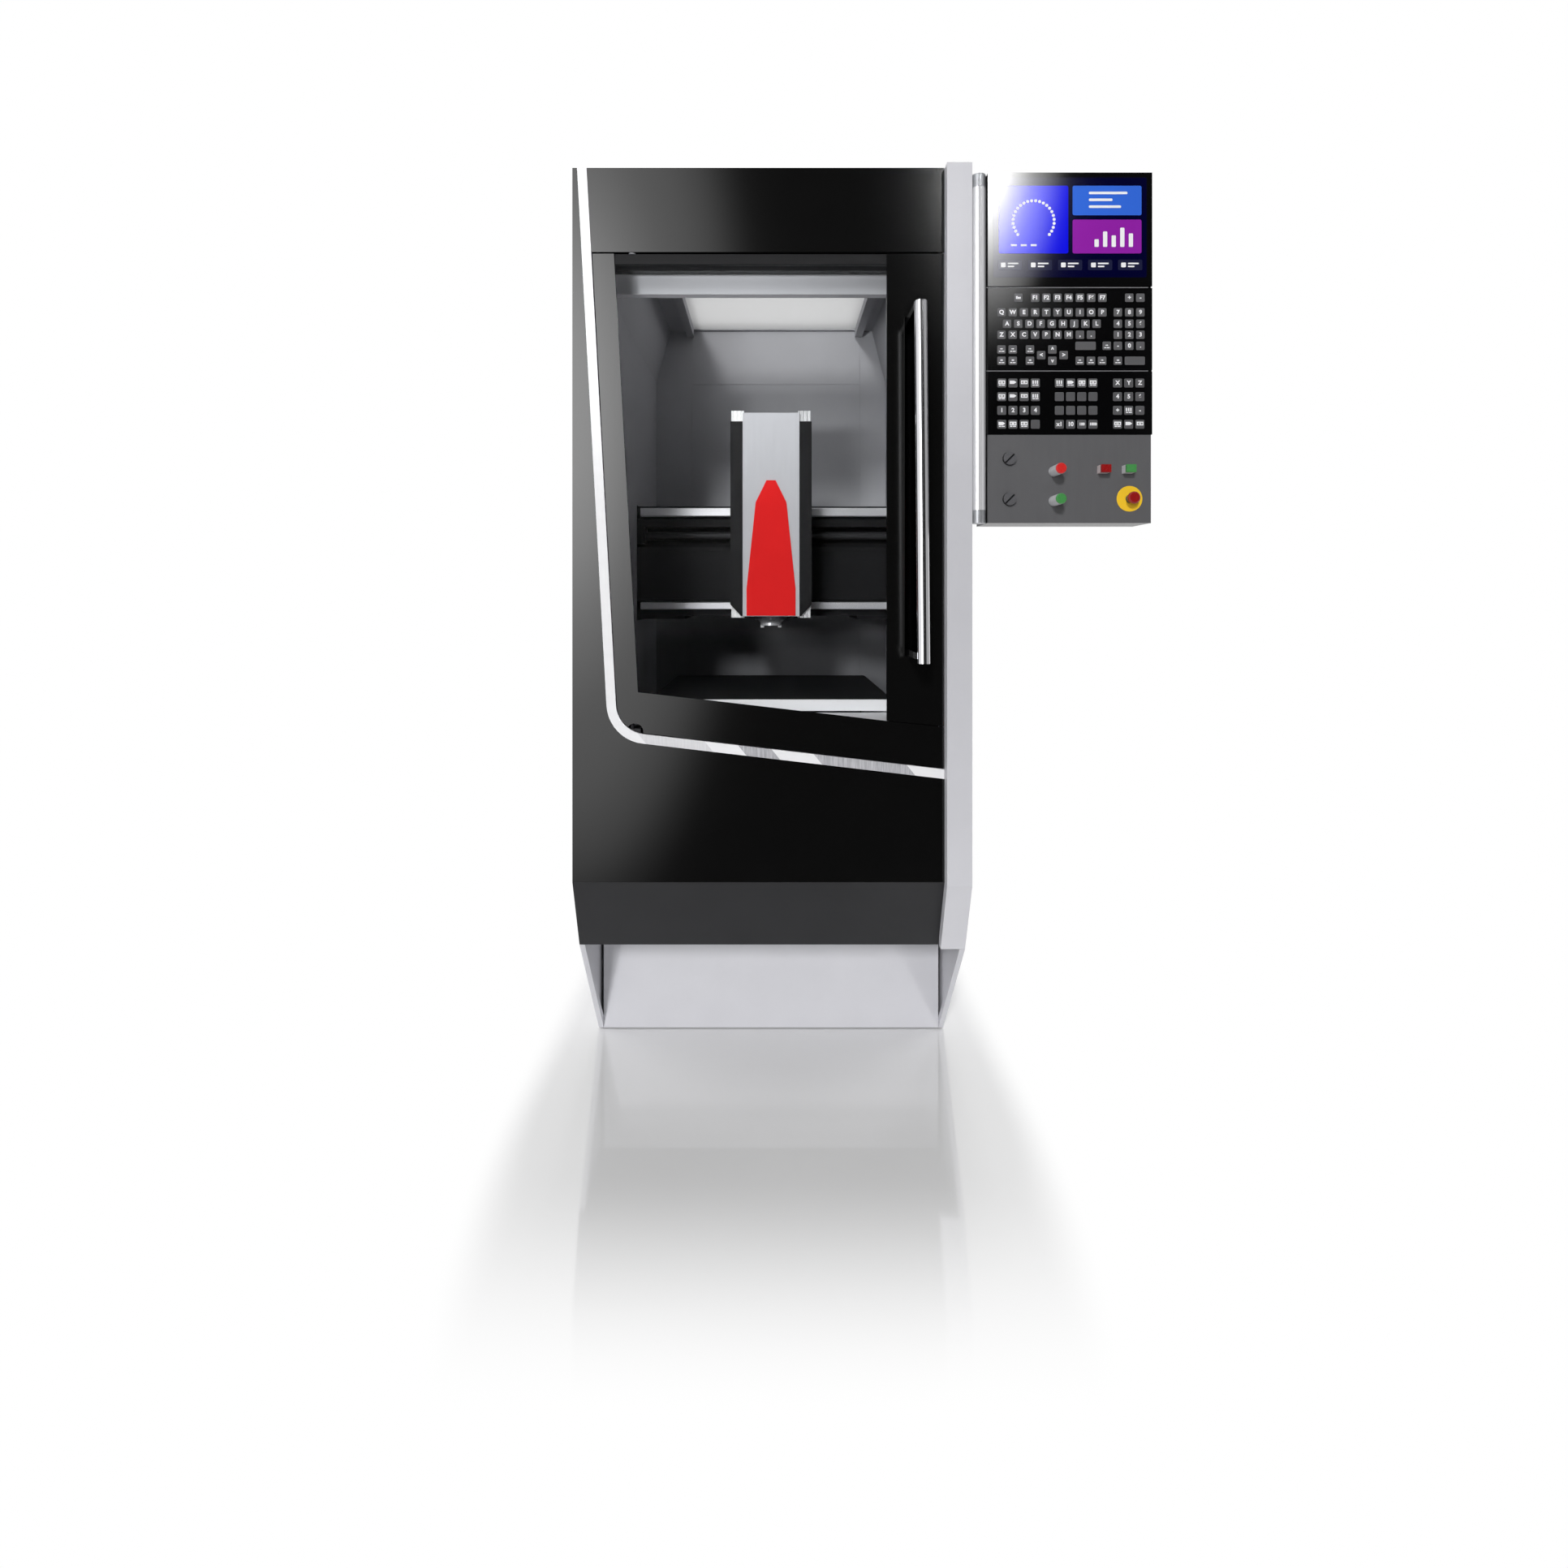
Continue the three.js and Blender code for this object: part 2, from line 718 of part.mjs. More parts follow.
function makeDoor() {
  const edgeOffset = stripWidth + doorGap;
  const skinEdge = bentEdge(edgeOffset, stripBend - edgeOffset, doorTop, doorRight);
  const stileFootLeft = windowFootAt(windowRight);
  const skinOutline = [
    ...skinEdge,
    [doorRight, stileFootLeft - stileFootDrop],
    [windowRight, stileFootLeft],
    [windowFootLeft, windowFootLeftHeight],
    [windowLeftAt(doorTop), doorTop],
  ];
  // A round relief at the lower pivot lets the skin turn clear of the strip
  const relief = alongY(rod(pivotReliefRadius, doorSkin + cutOverrun * 2)).translate(
    pivotX + pivotReliefShift, at(-cutOverrun), pivotPinFoot - pivotReliefDrop,
  );
  add('door_skin', shape(prismY(skinOutline, at(0), at(doorSkin)), [], [relief]), gloss);

  const stile = [
    [windowRight, stileFootLeft + panelSeam / 2],
    [doorRight, stileFootLeft - stileFootDrop + panelSeam / 2],
    [doorRight, doorTop], [windowRight, doorTop],
  ];
  add('door_stile', prismY(stile, at(0), at(doorSkin)), gloss);

  // Frame: a ring behind the skin, with a top rail that stands forward above the glass
  const ringRight = doorRight - doorFrameInset;
  const ringEdge = bentEdge(edgeOffset + doorFrameInset, doorCorner, doorTop, ringRight);
  const ringOutline = [...ringEdge, [ringRight, doorTop]];
  const railFoot = doorTop - doorTopRail;
  const glassBack = doorSkin + seat + glassThickness;
  const ringHole = [
    [windowLeftAt(railFoot) - frameReveal, railFoot],
    [windowFootLeft - frameReveal, windowFootLeftHeight - frameReveal],
    [windowRight + frameReveal, windowFootAt(windowRight) - frameReveal],
    [windowRight + frameReveal, railFoot],
  ];
  const ring = prismY(ringOutline, at(glassBack + seat), at(doorFrameBack));
  const hole = prismY(ringHole, at(0), at(doorFrameBack + cutOverrun));
  const rail = block(
    windowLeftAt(railFoot) + seat, windowRight - seat, at(sheet), at(glassBack + sheet),
    railFoot, doorTop,
  );
  const boss = block(
    pivotX - pivotBlock / 2, pivotX + pivotBlock / 2, at(doorSkin + seat), at(glassBack + sheet),
    pivotPinTop - pivotReach, pivotPinTop + pivotReach / 2,
  );
  const hingeHole = (z0, z1) => {
    const hole = rod(pivotRadius + pivotClearance, z1 - z0);
    return hole.translate(pivotX, at(pivotSetback), z0);
  };
  const frame = shape(ring, [rail, boss], [
    hole,
    hingeHole(doorTop - pivotReach, doorTop + cutOverrun),
    hingeHole(pivotPinTop - pivotReach - cutOverrun, pivotPinTop + pivotClearance),
  ]);
  add('door_frame', frame, castGrey);

  const glass = [
    [windowLeftAt(railFoot) - glassLap, railFoot - seat],
    [windowFootLeft - glassLap, windowFootLeftHeight - glassFootLap],
    [windowRight + glassLap, windowFootAt(windowRight) - glassFootLap],
    [windowRight + glassLap, railFoot - seat],
  ];
  add('door_glass', prismY(glass, at(doorSkin + seat), at(glassBack)), clearGlass);

  // Handle: a base strip, two posts and a round bar that leans out a little at its foot
  const baseLeft = handleX - handlePostWidth / 2 - (handleBaseWidth - handlePostWidth) / 2;
  const lowPostFoot = handleFoot + handleFootOverhang;
  const strip = block(
    baseLeft, baseLeft + handleBaseWidth, at(-handleBaseThickness - seat), at(-seat),
    lowPostFoot, handleTop,
  );
  const post = (x, standOff, z0) => block(
    x - handlePostWidth / 2, x + handlePostWidth / 2, at(-standOff), at(-seat - handleBaseThickness / 2),
    z0, z0 + handlePostHeight,
  );
  const run = new THREE.Vector3(
    handleX - handleFootX, handleFootStandOff - handleStandOff, handleTop - handleFoot,
  );
  const bar = rod(handleDiameter / 2, run.length());
  bar.applyQuaternion(new THREE.Quaternion().setFromUnitVectors(axisZ, run.clone().normalize()));
  bar.translate(handleFootX, at(-handleFootStandOff), handleFoot);
  const lowPost = post(handleX, handleFootStandOff, lowPostFoot);
  const highPost = post(handleX, handleStandOff, handleTop - handlePostHeight);
  add('door_handle', shape(strip, [lowPost, highPost, bar]), brightSteel);
}

// Pivot pins that carry the door top and bottom
function makePivots() {
  const left = pivotX - pivotBlock / 2;
  const right = pivotX + pivotBlock / 2;
  const back = at(skin + seat + pivotBlockDepth);
  const shoulder = pivotPinFoot - pivotShoulder;
  const lowBlock = block(left, right, at(skin + seat), back, pivotPinFoot - pivotBlockHeight, shoulder);
  const nose = block(left, right, at(doorSkin + seat), back, shoulder - joinLap, pivotPinFoot);
  const lowPin = rod(pivotRadius, pivotPinLength + joinLap);
  lowPin.translate(pivotX, at(pivotSetback), pivotPinFoot - joinLap);
  add('door_pivot_lower', shape(lowBlock, [nose, lowPin]), steel);
  const pinLength = pivotReach + doorHeadGap - pivotClearance * 2;
  const highPin = rod(pivotRadius, pinLength);
  const collar = rod(pivotRadius * 2, doorHeadGap / 2).translate(0, 0, pinLength - doorHeadGap / 2);
  add(
    'door_pivot_upper', shape(highPin, [collar]), steel,
    pivotX, at(pivotSetback), headerFoot - seat - pinLength,
  );
}

// Inner enclosure: coved side walls, back wall, ceiling with its roof window
function makeInnerEnclosure() {
  const wide = innerHalfWidth - seat;
  const narrow = coveAt(beamTop) - seat * 2;
  const beam = [
    [-wide, beamFoot], [wide, beamFoot], [wide, coveStart - seat], [narrow, beamTop],
    [-narrow, beamTop], [-wide, coveStart - seat],
  ];
  add('header_beam', prismY(beam, at(beamFront), at(beamFront + beamDepth)), lightGrey);

  const wall = [
    [-innerHalfWidth, innerFoot], [-innerHalfWidth, coveStart],
    [-innerHalfWidth + coveInset, ceilingHeight], [-innerHalfWidth + coveInset - sheet, ceilingHeight],
    [-innerHalfWidth - sheet, coveStart], [-innerHalfWidth - sheet, innerFoot],
  ];
  const slot = block(
    -halfWidth, halfWidth, at(bridgeStepFace - cutOverrun), at(bridgeBack + cutOverrun),
    bridgeFoot - bridgeFootLedge - cutOverrun, bridgeTop + cutOverrun,
  );
  const leftWall = prismY(wall, at(innerFront), at(innerBack));
  const rightWall = prismY(mirrored(wall), at(innerFront), at(innerBack));
  add('inner_wall_left', shape(leftWall, [], [slot]), innerGrey);
  add('inner_wall_right', shape(rightWall, [], [slot]), innerGrey);

  const backOutline = [
    [-innerHalfWidth, innerFoot], [innerHalfWidth, innerFoot], [innerHalfWidth, coveStart],
    [innerHalfWidth - coveInset, ceilingHeight], [coveInset - innerHalfWidth, ceilingHeight],
    [-innerHalfWidth, coveStart],
  ];
  const backWall = prismY(backOutline, at(innerBack + seat), at(innerBack + seat + foldedEdge));
  const seam = (x0, x1, z0, z1) => block(
    x0, x1, at(innerBack - cutOverrun), at(innerBack + seat + seamDepth), z0, z1,
  );
  const seams = [
    seam(rearPanelLeft, rearPanelLeft + seamWidth, innerFoot - cutOverrun, ceilingHeight + cutOverrun),
    seam(rearPanelRight - seamWidth, rearPanelRight, innerFoot - cutOverrun, ceilingHeight + cutOverrun),
    seam(rearPanelLeft, rearPanelRight, rearPanelFoot, rearPanelFoot + seamWidth),
  ];
  add('inner_back_wall', shape(backWall, [], seams), innerGrey);

  const ceilingFront = beamFront + beamDepth + seat;
  const ceiling = block(
    coveInset - innerHalfWidth, innerHalfWidth - coveInset, at(ceilingFront), at(innerBack),
    ceilingHeight + seat, ceilingHeight + seat + sheet,
  );
  const openingBack = innerBack - roofOpeningBackMargin;
  const lip = (x) => block(
    x, x + roofLipWidth, at(roofOpeningFront), at(openingBack),
    ceilingHeight - roofLipDrop, ceilingHeight + seat + sheet / 2,
  );
  const opening = block(
    roofOpeningLeft, roofOpeningRight, at(roofOpeningFront), at(openingBack),
    ceilingHeight - roofLipDrop - cutOverrun, ceilingHeight + cutOverrun + sheet,
  );
  const lips = [lip(roofOpeningLeft - roofLipWidth), lip(roofOpeningRight)];
  add('ceiling_panel', shape(ceiling, lips, [opening]), innerGrey);

  const windowFoot = ceilingHeight + sheet + seat * 2;
  add('roof_window', block(
    roofOpeningLeft - roofWindowLap, roofOpeningRight + roofWindowLap,
    at(roofOpeningFront - roofWindowLap), at(openingBack + roofOpeningBackMargin),
    windowFoot, windowFoot + roofWindowThickness,
  ), frosted);
}

function makeRoof() {
  const inner = halfWidth - foldedEdge - seat;
  const tray = block(
    -inner, inner, at(columnDepth - columnProud + seat), at(cabinetDepth),
    cabinetHeight - roofTrayDepth, cabinetHeight,
  );
  const hollow = block(
    foldedEdge - inner, inner - foldedEdge,
    at(columnDepth - columnProud + foldedEdge), at(cabinetDepth - foldedEdge),
    cabinetHeight - roofTrayDepth - cutOverrun, cabinetHeight - sheet,
  );
  const opening = block(
    roofOpeningLeft, roofOpeningRight, at(roofOpeningFront), at(innerBack - roofOpeningBackMargin),
    cabinetHeight - roofTrayDepth, cabinetHeight + cutOverrun,
  );
  const front = block(
    -inner, columnLeft - columnReveal, at(skin + seat), at(columnDepth - columnProud + foldedEdge),
    cabinetHeight - sheet, cabinetHeight,
  );
  add('roof_panel', shape(tray, [front], [hollow, opening]), lightGrey);
}

// Sill under the door and the trough on each side of the rails
function makeTray() {
  const inner = innerHalfWidth - seat;
  const sillHalf = fasciaRight - seat;
  const sill = block(-sillHalf, sillHalf, at(sillFront), at(sillBack), sillTop - sheet, sillTop);
  const apron = block(-inner, inner, at(sillBack - sheet), at(sillBack), bedTop + seat, sillTop - sheet / 2);
  const floors = [-1, 1].map((side) => {
    const edge = side * inner;
    const foot = side * (inner - traySideWidth + foldedEdge);
    return block(
      Math.min(edge, foot), Math.max(edge, foot), at(sillBack - sheet), at(innerBack - seat),
      bedTop + seat, bedTop + seat + sheet,
    );
  });
  add('chip_tray', shape(sill, [apron, ...floors]), steel);
}

function makeTable() {
  const half = tableWidth / 2;
  const outline = [
    [at(tableFront + tableEdge), tableTop], [at(tableFront), tableTop - tableEdge],
    [at(tableFront), tableTop - tableThickness], [at(tableFront + tableDepth), tableTop - tableThickness],
    [at(tableFront + tableDepth), tableTop],
  ];
  add('work_table', prismX(outline, -half, half), tableDark);

  const top = tableTop - tableThickness - seat;
  const foot = bedTop + carriageLift;
  const groove = yRailWidth / 2 + railClearance;
  const grooveTop = bedTop + yRailHeight + railClearance;
  const archHalf = yRailOffset - groove - yRailWidth;
  const halfOutline = [
    [0, foot + carriageArch], [archHalf, foot + carriageArch], [archHalf, foot],
    [yRailOffset - groove, foot], [yRailOffset - groove, grooveTop],
    [yRailOffset + groove, grooveTop], [yRailOffset + groove, foot],
    [carriageHalfWidth - foldedEdge - seat * 2, foot], [carriageHalfWidth - foldedEdge - seat * 2, top],
  ];
  const carriage = [...halfOutline, ...mirrored(halfOutline.slice(1))];
  add('table_carriage', prismY(carriage, at(carriageFront), at(carriageFront + carriageLength)), castGrey);
}

// Cross beam with its screw recess, the two X rails and the screw
function makeBridge() {
  const outline = [
    [at(beamFace), bridgeFoot], [at(bridgeBack), bridgeFoot], [at(bridgeBack), bridgeTop],
    [at(beamFace), bridgeTop], [at(beamFace), upperRailFoot - railGroove],
    [at(bridgeStepFace), upperRailFoot - railGroove * 2], [at(bridgeStepFace), screwRecessTop],
    [at(screwRecessDepth), screwRecessTop], [at(screwRecessDepth), screwRecessFoot],
    [at(bridgeCoverFace + bridgeCoverLip), screwRecessFoot],
    [at(bridgeCoverFace + bridgeCoverBevel), bridgeCoverTop + bridgeCoverBevelRise],
    [at(bridgeCoverFace), bridgeCoverTop], [at(bridgeCoverFace), bridgeCoverFoot],
    [at(beamFace), bridgeCoverFoot - railGroove],
  ];
  const half = bedHalfWidth - sideFrameThickness - seat;
  const screwZ = (screwRecessFoot + screwRecessTop) / 2;
  const joined = [];
  const cuts = [];
  const hole = rod(screwJournal + screwJournalClearance, half * 2 + cutOverrun * 2);
  cuts.push(alongX(hole).translate(-half - cutOverrun, at(screwSetback), screwZ));
  for (const side of [-1, 1]) {
    const low = Math.min(side * half, side * (half - screwBearing));
    joined.push(block(
      low, low + screwBearing, at(beamFace), at(screwRecessDepth + joinLap),
      screwRecessFoot - joinLap, screwRecessTop + joinLap,
    ));
    const ledgeLow = side > 0 ? bridgeFootLedgeStart : -half;
    joined.push(block(
      ledgeLow, ledgeLow + half - bridgeFootLedgeStart, at(bridgeStepFace), at(bridgeBack),
      bridgeFoot - bridgeFootLedge, bridgeFoot + joinLap,
    ));
  }
  add('bridge_beam', shape(prismX(outline, -half, half), joined, cuts), darkGrey);

  const rail = (z0, z1) => [
    [at(beamFace) - seat, z0], [at(beamFace) - seat, z1], [at(railFace) + railGroove * 4, z1],
    [at(railFace) + railGroove * 3, z1 - railGroove], [at(railFace) + railGroove * 2, z1 - railGroove],
    [at(railFace) + railGroove, z1], [at(railFace) + railGroove / 2, z1], [at(railFace), z1 - railGroove / 2],
    [at(railFace), z0 + railGroove / 2], [at(railFace) + railGroove / 2, z0], [at(railFace) + railGroove, z0],
    [at(railFace) + railGroove * 2, z0 + railGroove], [at(railFace) + railGroove * 3, z0 + railGroove],
    [at(railFace) + railGroove * 4, z0],
  ];
  const upperRail = prismX(rail(upperRailFoot, upperRailTop), -railHalfLength, railHalfLength);
  add('x_rail_upper', upperRail, brightSteel);
  const lowerRail = prismX(rail(lowerRailFoot, lowerRailTop), -railHalfLength, railHalfLength);
  add('x_rail_lower', lowerRail, brightSteel);

  const journalEnd = half - seat;
  const screwProfile = [
    [0, -journalEnd], [screwJournal, -journalEnd], [screwJournal, -screwHalfLength],
    [screwRadius, -screwHalfLength], [screwRadius, screwHalfLength],
    [screwJournal, screwHalfLength], [screwJournal, journalEnd], [0, journalEnd],
  ];
  add('x_ball_screw', alongX(revolve(screwProfile, screwSides)), steel, 0, at(screwSetback), screwZ);
}

// Saddle: a plate whose jaws hold the X rails and whose front blocks hold the head's Z rails
function makeSaddle() {
  const jaw = (z0, z1) => [
    [at(saddleBack), z0 - blockLip], [at(blockReach), z0 - blockLip], [at(blockReach), z0 - railClearance],
    [at(railFace) - railClearance, z0 - railClearance], [at(railFace) - railClearance, z1 + railClearance],
    [at(blockReach), z1 + railClearance], [at(blockReach), z1 + blockLip], [at(saddleBack), z1 + blockLip],
  ];
  const outline = [
    [at(saddleFront), saddleFoot - railGroove], [at(saddleBack), saddleFoot - railGroove],
    ...jaw(lowerRailFoot, lowerRailTop), ...jaw(upperRailFoot, upperRailTop),
    [at(saddleBack), saddleTop], [at(saddleFront), saddleTop],
  ];
  const screwZ = (screwRecessFoot + screwRecessTop) / 2;
  const nut = block(
    -nutHalfLength, nutHalfLength, at(saddleBack - joinLap), at(screwRecessDepth - nutMargin),
    screwRecessFoot + nutMargin, screwRecessTop - nutMargin,
  );
  const blocks = [];
  const cuts = [];
  const bore = rod(screwRadius + nutClearance, nutHalfLength * 2 + cutOverrun * 2);
  cuts.push(alongX(bore).translate(-nutHalfLength - cutOverrun, at(screwSetback), screwZ));
  for (const side of [-1, 1]) {
    const x = side * zRailOffset;
    for (const z of [lowerZBlock, upperZBlock]) {
      blocks.push(block(
        x - zBlockHalfWidth, x + zBlockHalfWidth,
        at(headBack + railGroove), at(saddleFront + joinLap), z, z + zBlockHeight,
      ));
    }
    cuts.push(block(
      x - zRailWidth / 2 - railClearance, x + zRailWidth / 2 + railClearance,
      at(headBack), at(headBack + zRailHeight + railClearance),
      saddleFoot - cutOverrun, saddleTop + cutOverrun,
    ));
  }
  const plate = prismX(outline, -saddleHalfWidth, saddleHalfWidth);
  add('x_saddle', shape(plate, [nut, ...blocks], cuts), castGrey);
}

// Spindle head: core with its Z rails, covers, fluted guide profiles and spindle
function makeHead() {
  const axisSetback = (headFront + headBack) / 2;
  const core = block(
    -coreHalfWidth, coreHalfWidth, at(headFront + coverThickness + seat), at(headBack),
    headFoot + coreInset, headTop - coreInset,
  );
  const flange = rod(spindleFlangeRadius, spindleFlangeHeight - seat);
  flange.translate(0, at(axisSetback), spindleFlangeFoot);
  const neck = rod(spindleNeckRadius, spindleFlangeHeight + coreInset * 2 - joinLap);
  neck.translate(0, at(axisSetback), spindleFlangeFoot + joinLap);
  const rails = [-1, 1].map((side) => block(
    side * zRailOffset - zRailWidth / 2, side * zRailOffset + zRailWidth / 2,
    at(headBack - joinLap), at(headBack + zRailHeight), headFoot + coreInset, guideTop - coreInset * 2,
  ));
  const boreFoot = spindleFlangeFoot - cutOverrun;
  const bore = rod(spindleRadius + spindleClearance, spindleTop + spindleClearance - boreFoot);
  bore.translate(0, at(axisSetback), boreFoot);
  add('head_housing', shape(core, [flange, neck, ...rails], [bore]), castGrey);

  add('head_front_cover', block(
    -coverHalfWidth, coverHalfWidth, at(headFront), at(headFront + coverThickness), headFoot, headTop,
  ), headSilver);

  const shield = [
    [-shieldFootHalf, shieldFoot], [shieldFootHalf, shieldFoot], [shieldFootHalf, shieldWaist],
    [shieldShoulderHalf, shieldShoulder], [shieldTopHalf, shieldTop],
    [-shieldTopHalf, shieldTop], [-shieldShoulderHalf, shieldShoulder], [-shieldFootHalf, shieldWaist],
  ];
  const shieldFace = headFront - seat - shieldThickness;
  add('head_shield', prismY(shield, at(shieldFace), at(headFront - seat)), shieldRed);

  // Fluted aluminium profile on each side of the core
  const inner = coreHalfWidth + guideClearance;
  const outer = headHalfWidth - sideCoverSheet - seat;
  const front = at(headFront + coverThickness + seat);
  const back = at(headBack - coreInset);
  const flute = (from, to, normal) => {
    const length = from.distanceTo(to);
    const count = Math.floor(length / (guideFluteRadius * flutePitchShare));
    const pitch = length / count;
    const along = to.clone().sub(from).normalize();
    const points = [];
    for (let i = 0; i < count; i += 1) {
      const centre = from.clone().addScaledVector(along, pitch * (i + 0.5));
      for (let j = 0; j <= guideFluteSteps; j += 1) {
        const angle = (Math.PI * j) / guideFluteSteps;
        const step = centre.clone()
          .addScaledVector(along, -guideFluteRadius * Math.cos(angle))
          .addScaledVector(normal, -guideFluteRadius * Math.sin(angle));
        points.push([step.x, step.y]);
      }
    }
    return points;
  };
  const corners = [
    new THREE.Vector2(inner, front), new THREE.Vector2(outer, front), new THREE.Vector2(outer, back),
  ];
  const guide = [
    [inner, front], ...flute(corners[0], corners[1], new THREE.Vector2(0, -1)),
    [outer, front], ...flute(corners[1], corners[2], new THREE.Vector2(1, 0)),
    [outer, back], [inner, back],
  ];
  add('head_guide_right', prismZ(guide, guideFoot, guideTop), brightSteel);
  add('head_guide_left', prismZ(mirrored(guide), guideFoot, guideTop), brightSteel);

  const coverInner = coverHalfWidth + seat;
  const coverFront = headFront + seat;
  const cover = [
    [coverInner, at(coverFront)], [headHalfWidth, at(coverFront)], [headHalfWidth, back],
    [headHalfWidth - sideCoverSheet, back], [headHalfWidth - sideCoverSheet, at(coverFront + sideCoverSheet)],
    [coverInner, at(coverFront + sideCoverSheet)],
  ];
  const corner = [
    [coverInner, sideCoverFoot - cutOverrun], [headHalfWidth + cutOverrun, sideCoverFoot - cutOverrun],
    [headHalfWidth + cutOverrun, sideCoverFoot + sideCoverChamfer + cutOverrun],
  ];
  const bottomCut = prismY(corner, at(headFront - cutOverrun), at(headBack + cutOverrun));
  const rightCover = shape(prismZ(cover, sideCoverFoot, sideCoverTop), [], [bottomCut]);
  add('head_side_cover_right', rightCover, darkGrey);
  const leftCut = prismY(mirrored(corner), at(headFront - cutOverrun), at(headBack + cutOverrun));
  const leftCover = shape(prismZ(mirrored(cover), sideCoverFoot, sideCoverTop), [], [leftCut]);
  add('head_side_cover_left', leftCover, darkGrey);

  // Spindle: shaft, nose, taper socket and two drive keys
  const nose = spindleNose - seat;
  const spindleProfile = [
    [0, socketDepth], [socketFloor, socketDepth], [socketMouth, 0], [spindleRadius, 0],
    [spindleRadius, nose / 2], [spindleRadius + nose / 2, nose], [spindleRadius + nose / 2, nose + seat / 3],
    [spindleRadius, nose + seat / 3], [spindleRadius, spindleLength], [0, spindleLength],
  ];
  const keys = [-1, 1].map((side) => block(
    side > 0 ? keyInner : -spindleRadius, side > 0 ? spindleRadius : -keyInner,
    -keyWidth / 2, keyWidth / 2, -keyDrop, joinLap,
  ));
  add('spindle', shape(revolve(spindleProfile), keys), brightSteel, 0, at(axisSetback), spindleFace);
}

// Pendant hinge bracket on the column's side: plate, knuckles and pin
function makePendantBracket() {
  const left = halfWidth + seat;
  const plate = block(left, left + bracketPlate, at(bracketFront), at(bracketBack), pendantFoot, pendantTop);
  const knuckles = [pendantFoot, pendantTop - knuckleHeight].map((z) => (
    rod(tubeRadius, knuckleHeight).translate(tubeX, at(tubeSetback), z)
  ));
  const tongues = [pendantFoot, pendantTop - knuckleHeight].map((z) => block(
    left, tubeX - tubeRadius / 2, at(tubeSetback), at(bracketFront + bracketPlate), z, z + knuckleHeight,
  ));
  const pin = rod(pendantPin, pendantTop - pendantFoot - knuckleHeight);
  pin.translate(tubeX, at(tubeSetback), pendantFoot + knuckleHeight / 2);
  add('pendant_bracket', shape(plate, [...knuckles, ...tongues, pin]), steel);
}

function makePendant() {
  const foot = pendantFoot + knuckleHeight + seat;
  const top = pendantTop - knuckleHeight - seat;
  const tubeProfile = [
    [tubeBore, 0], [tubeRadius, 0], [tubeRadius, top - foot], [tubeBore, top - foot], [tubeBore, 0],
  ];
  add('pendant_tube', revolve(tubeProfile), brightSteel, tubeX, at(tubeSetback), foot);

  const left = tubeX + tubeRadius + seat;
  const panelBack = pendantFront + pendantPanel;
  const housingFront = panelBack + seat;
  const body = block(left, pendantRight, at(housingFront), at(pendantBack), pendantFoot, pendantTop);
  const hollow = block(
    left + pendantWall, pendantRight - pendantWall,
    at(housingFront - cutOverrun), at(pendantBack - pendantWall),
    pendantFoot + pendantWall, pendantTop - pendantWall,
  );
  add('pendant_housing', shape(body, [], [hollow]), gloss);

  add('display_panel', block(
    left, pendantRight, at(pendantFront), at(panelBack), displayFoot, pendantTop,
  ), screenBlack);

  const keys = block(
    left, pendantRight, at(pendantFront), at(panelBack), keyPanelFoot, displayFoot - panelSeam,
  );
  const split = block(
    left - cutOverrun, pendantRight + cutOverrun, at(pendantFront - cutOverrun), at(pendantFront + seamDepth),
    keySplit - panelSeam / 2, keySplit + panelSeam / 2,
  );
  add('key_panel', shape(keys, [], [split]), darkGrey);

  const face = pendantFront + controlPanelDrop;
  const plate = block(
    left, pendantRight - pendantWall, at(face), at(panelBack), pendantFoot, keyPanelFoot - seat,
  );
  const through = (geometry, x, z) => geometry.translate(x, at(panelBack + cutOverrun), z);
  const roundHole = (radius, x, z) => through(
    towardsFront(rod(radius + controlClearance, pendantPanel + cutOverrun * 2)), x, z,
  );
  const slotHole = (x) => block(
    x - squareButtonWidth / 2 - controlClearance, x + squareButtonWidth / 2 + controlClearance,
    at(face - cutOverrun), at(panelBack + cutOverrun),
    squareButtonZ - squareButtonHeight / 2 - controlClearance,
    squareButtonZ + squareButtonHeight / 2 + controlClearance,
  );
  const holes = [
    roundHole(roundButtonRadius, roundButtonX, stopButtonZ),
    roundHole(roundButtonRadius, roundButtonX, startButtonZ),
    roundHole(emergencyStemRadius, emergencyX, emergencyZ),
    roundHole(rotaryRadius, rotaryX, rotaryUpperZ),
    roundHole(rotaryRadius, rotaryX, rotaryLowerZ),
    slotHole(powerOffX),
    slotHole(powerOnX),
  ];
  add('control_panel', shape(plate, [], holes), panelGrey);
}

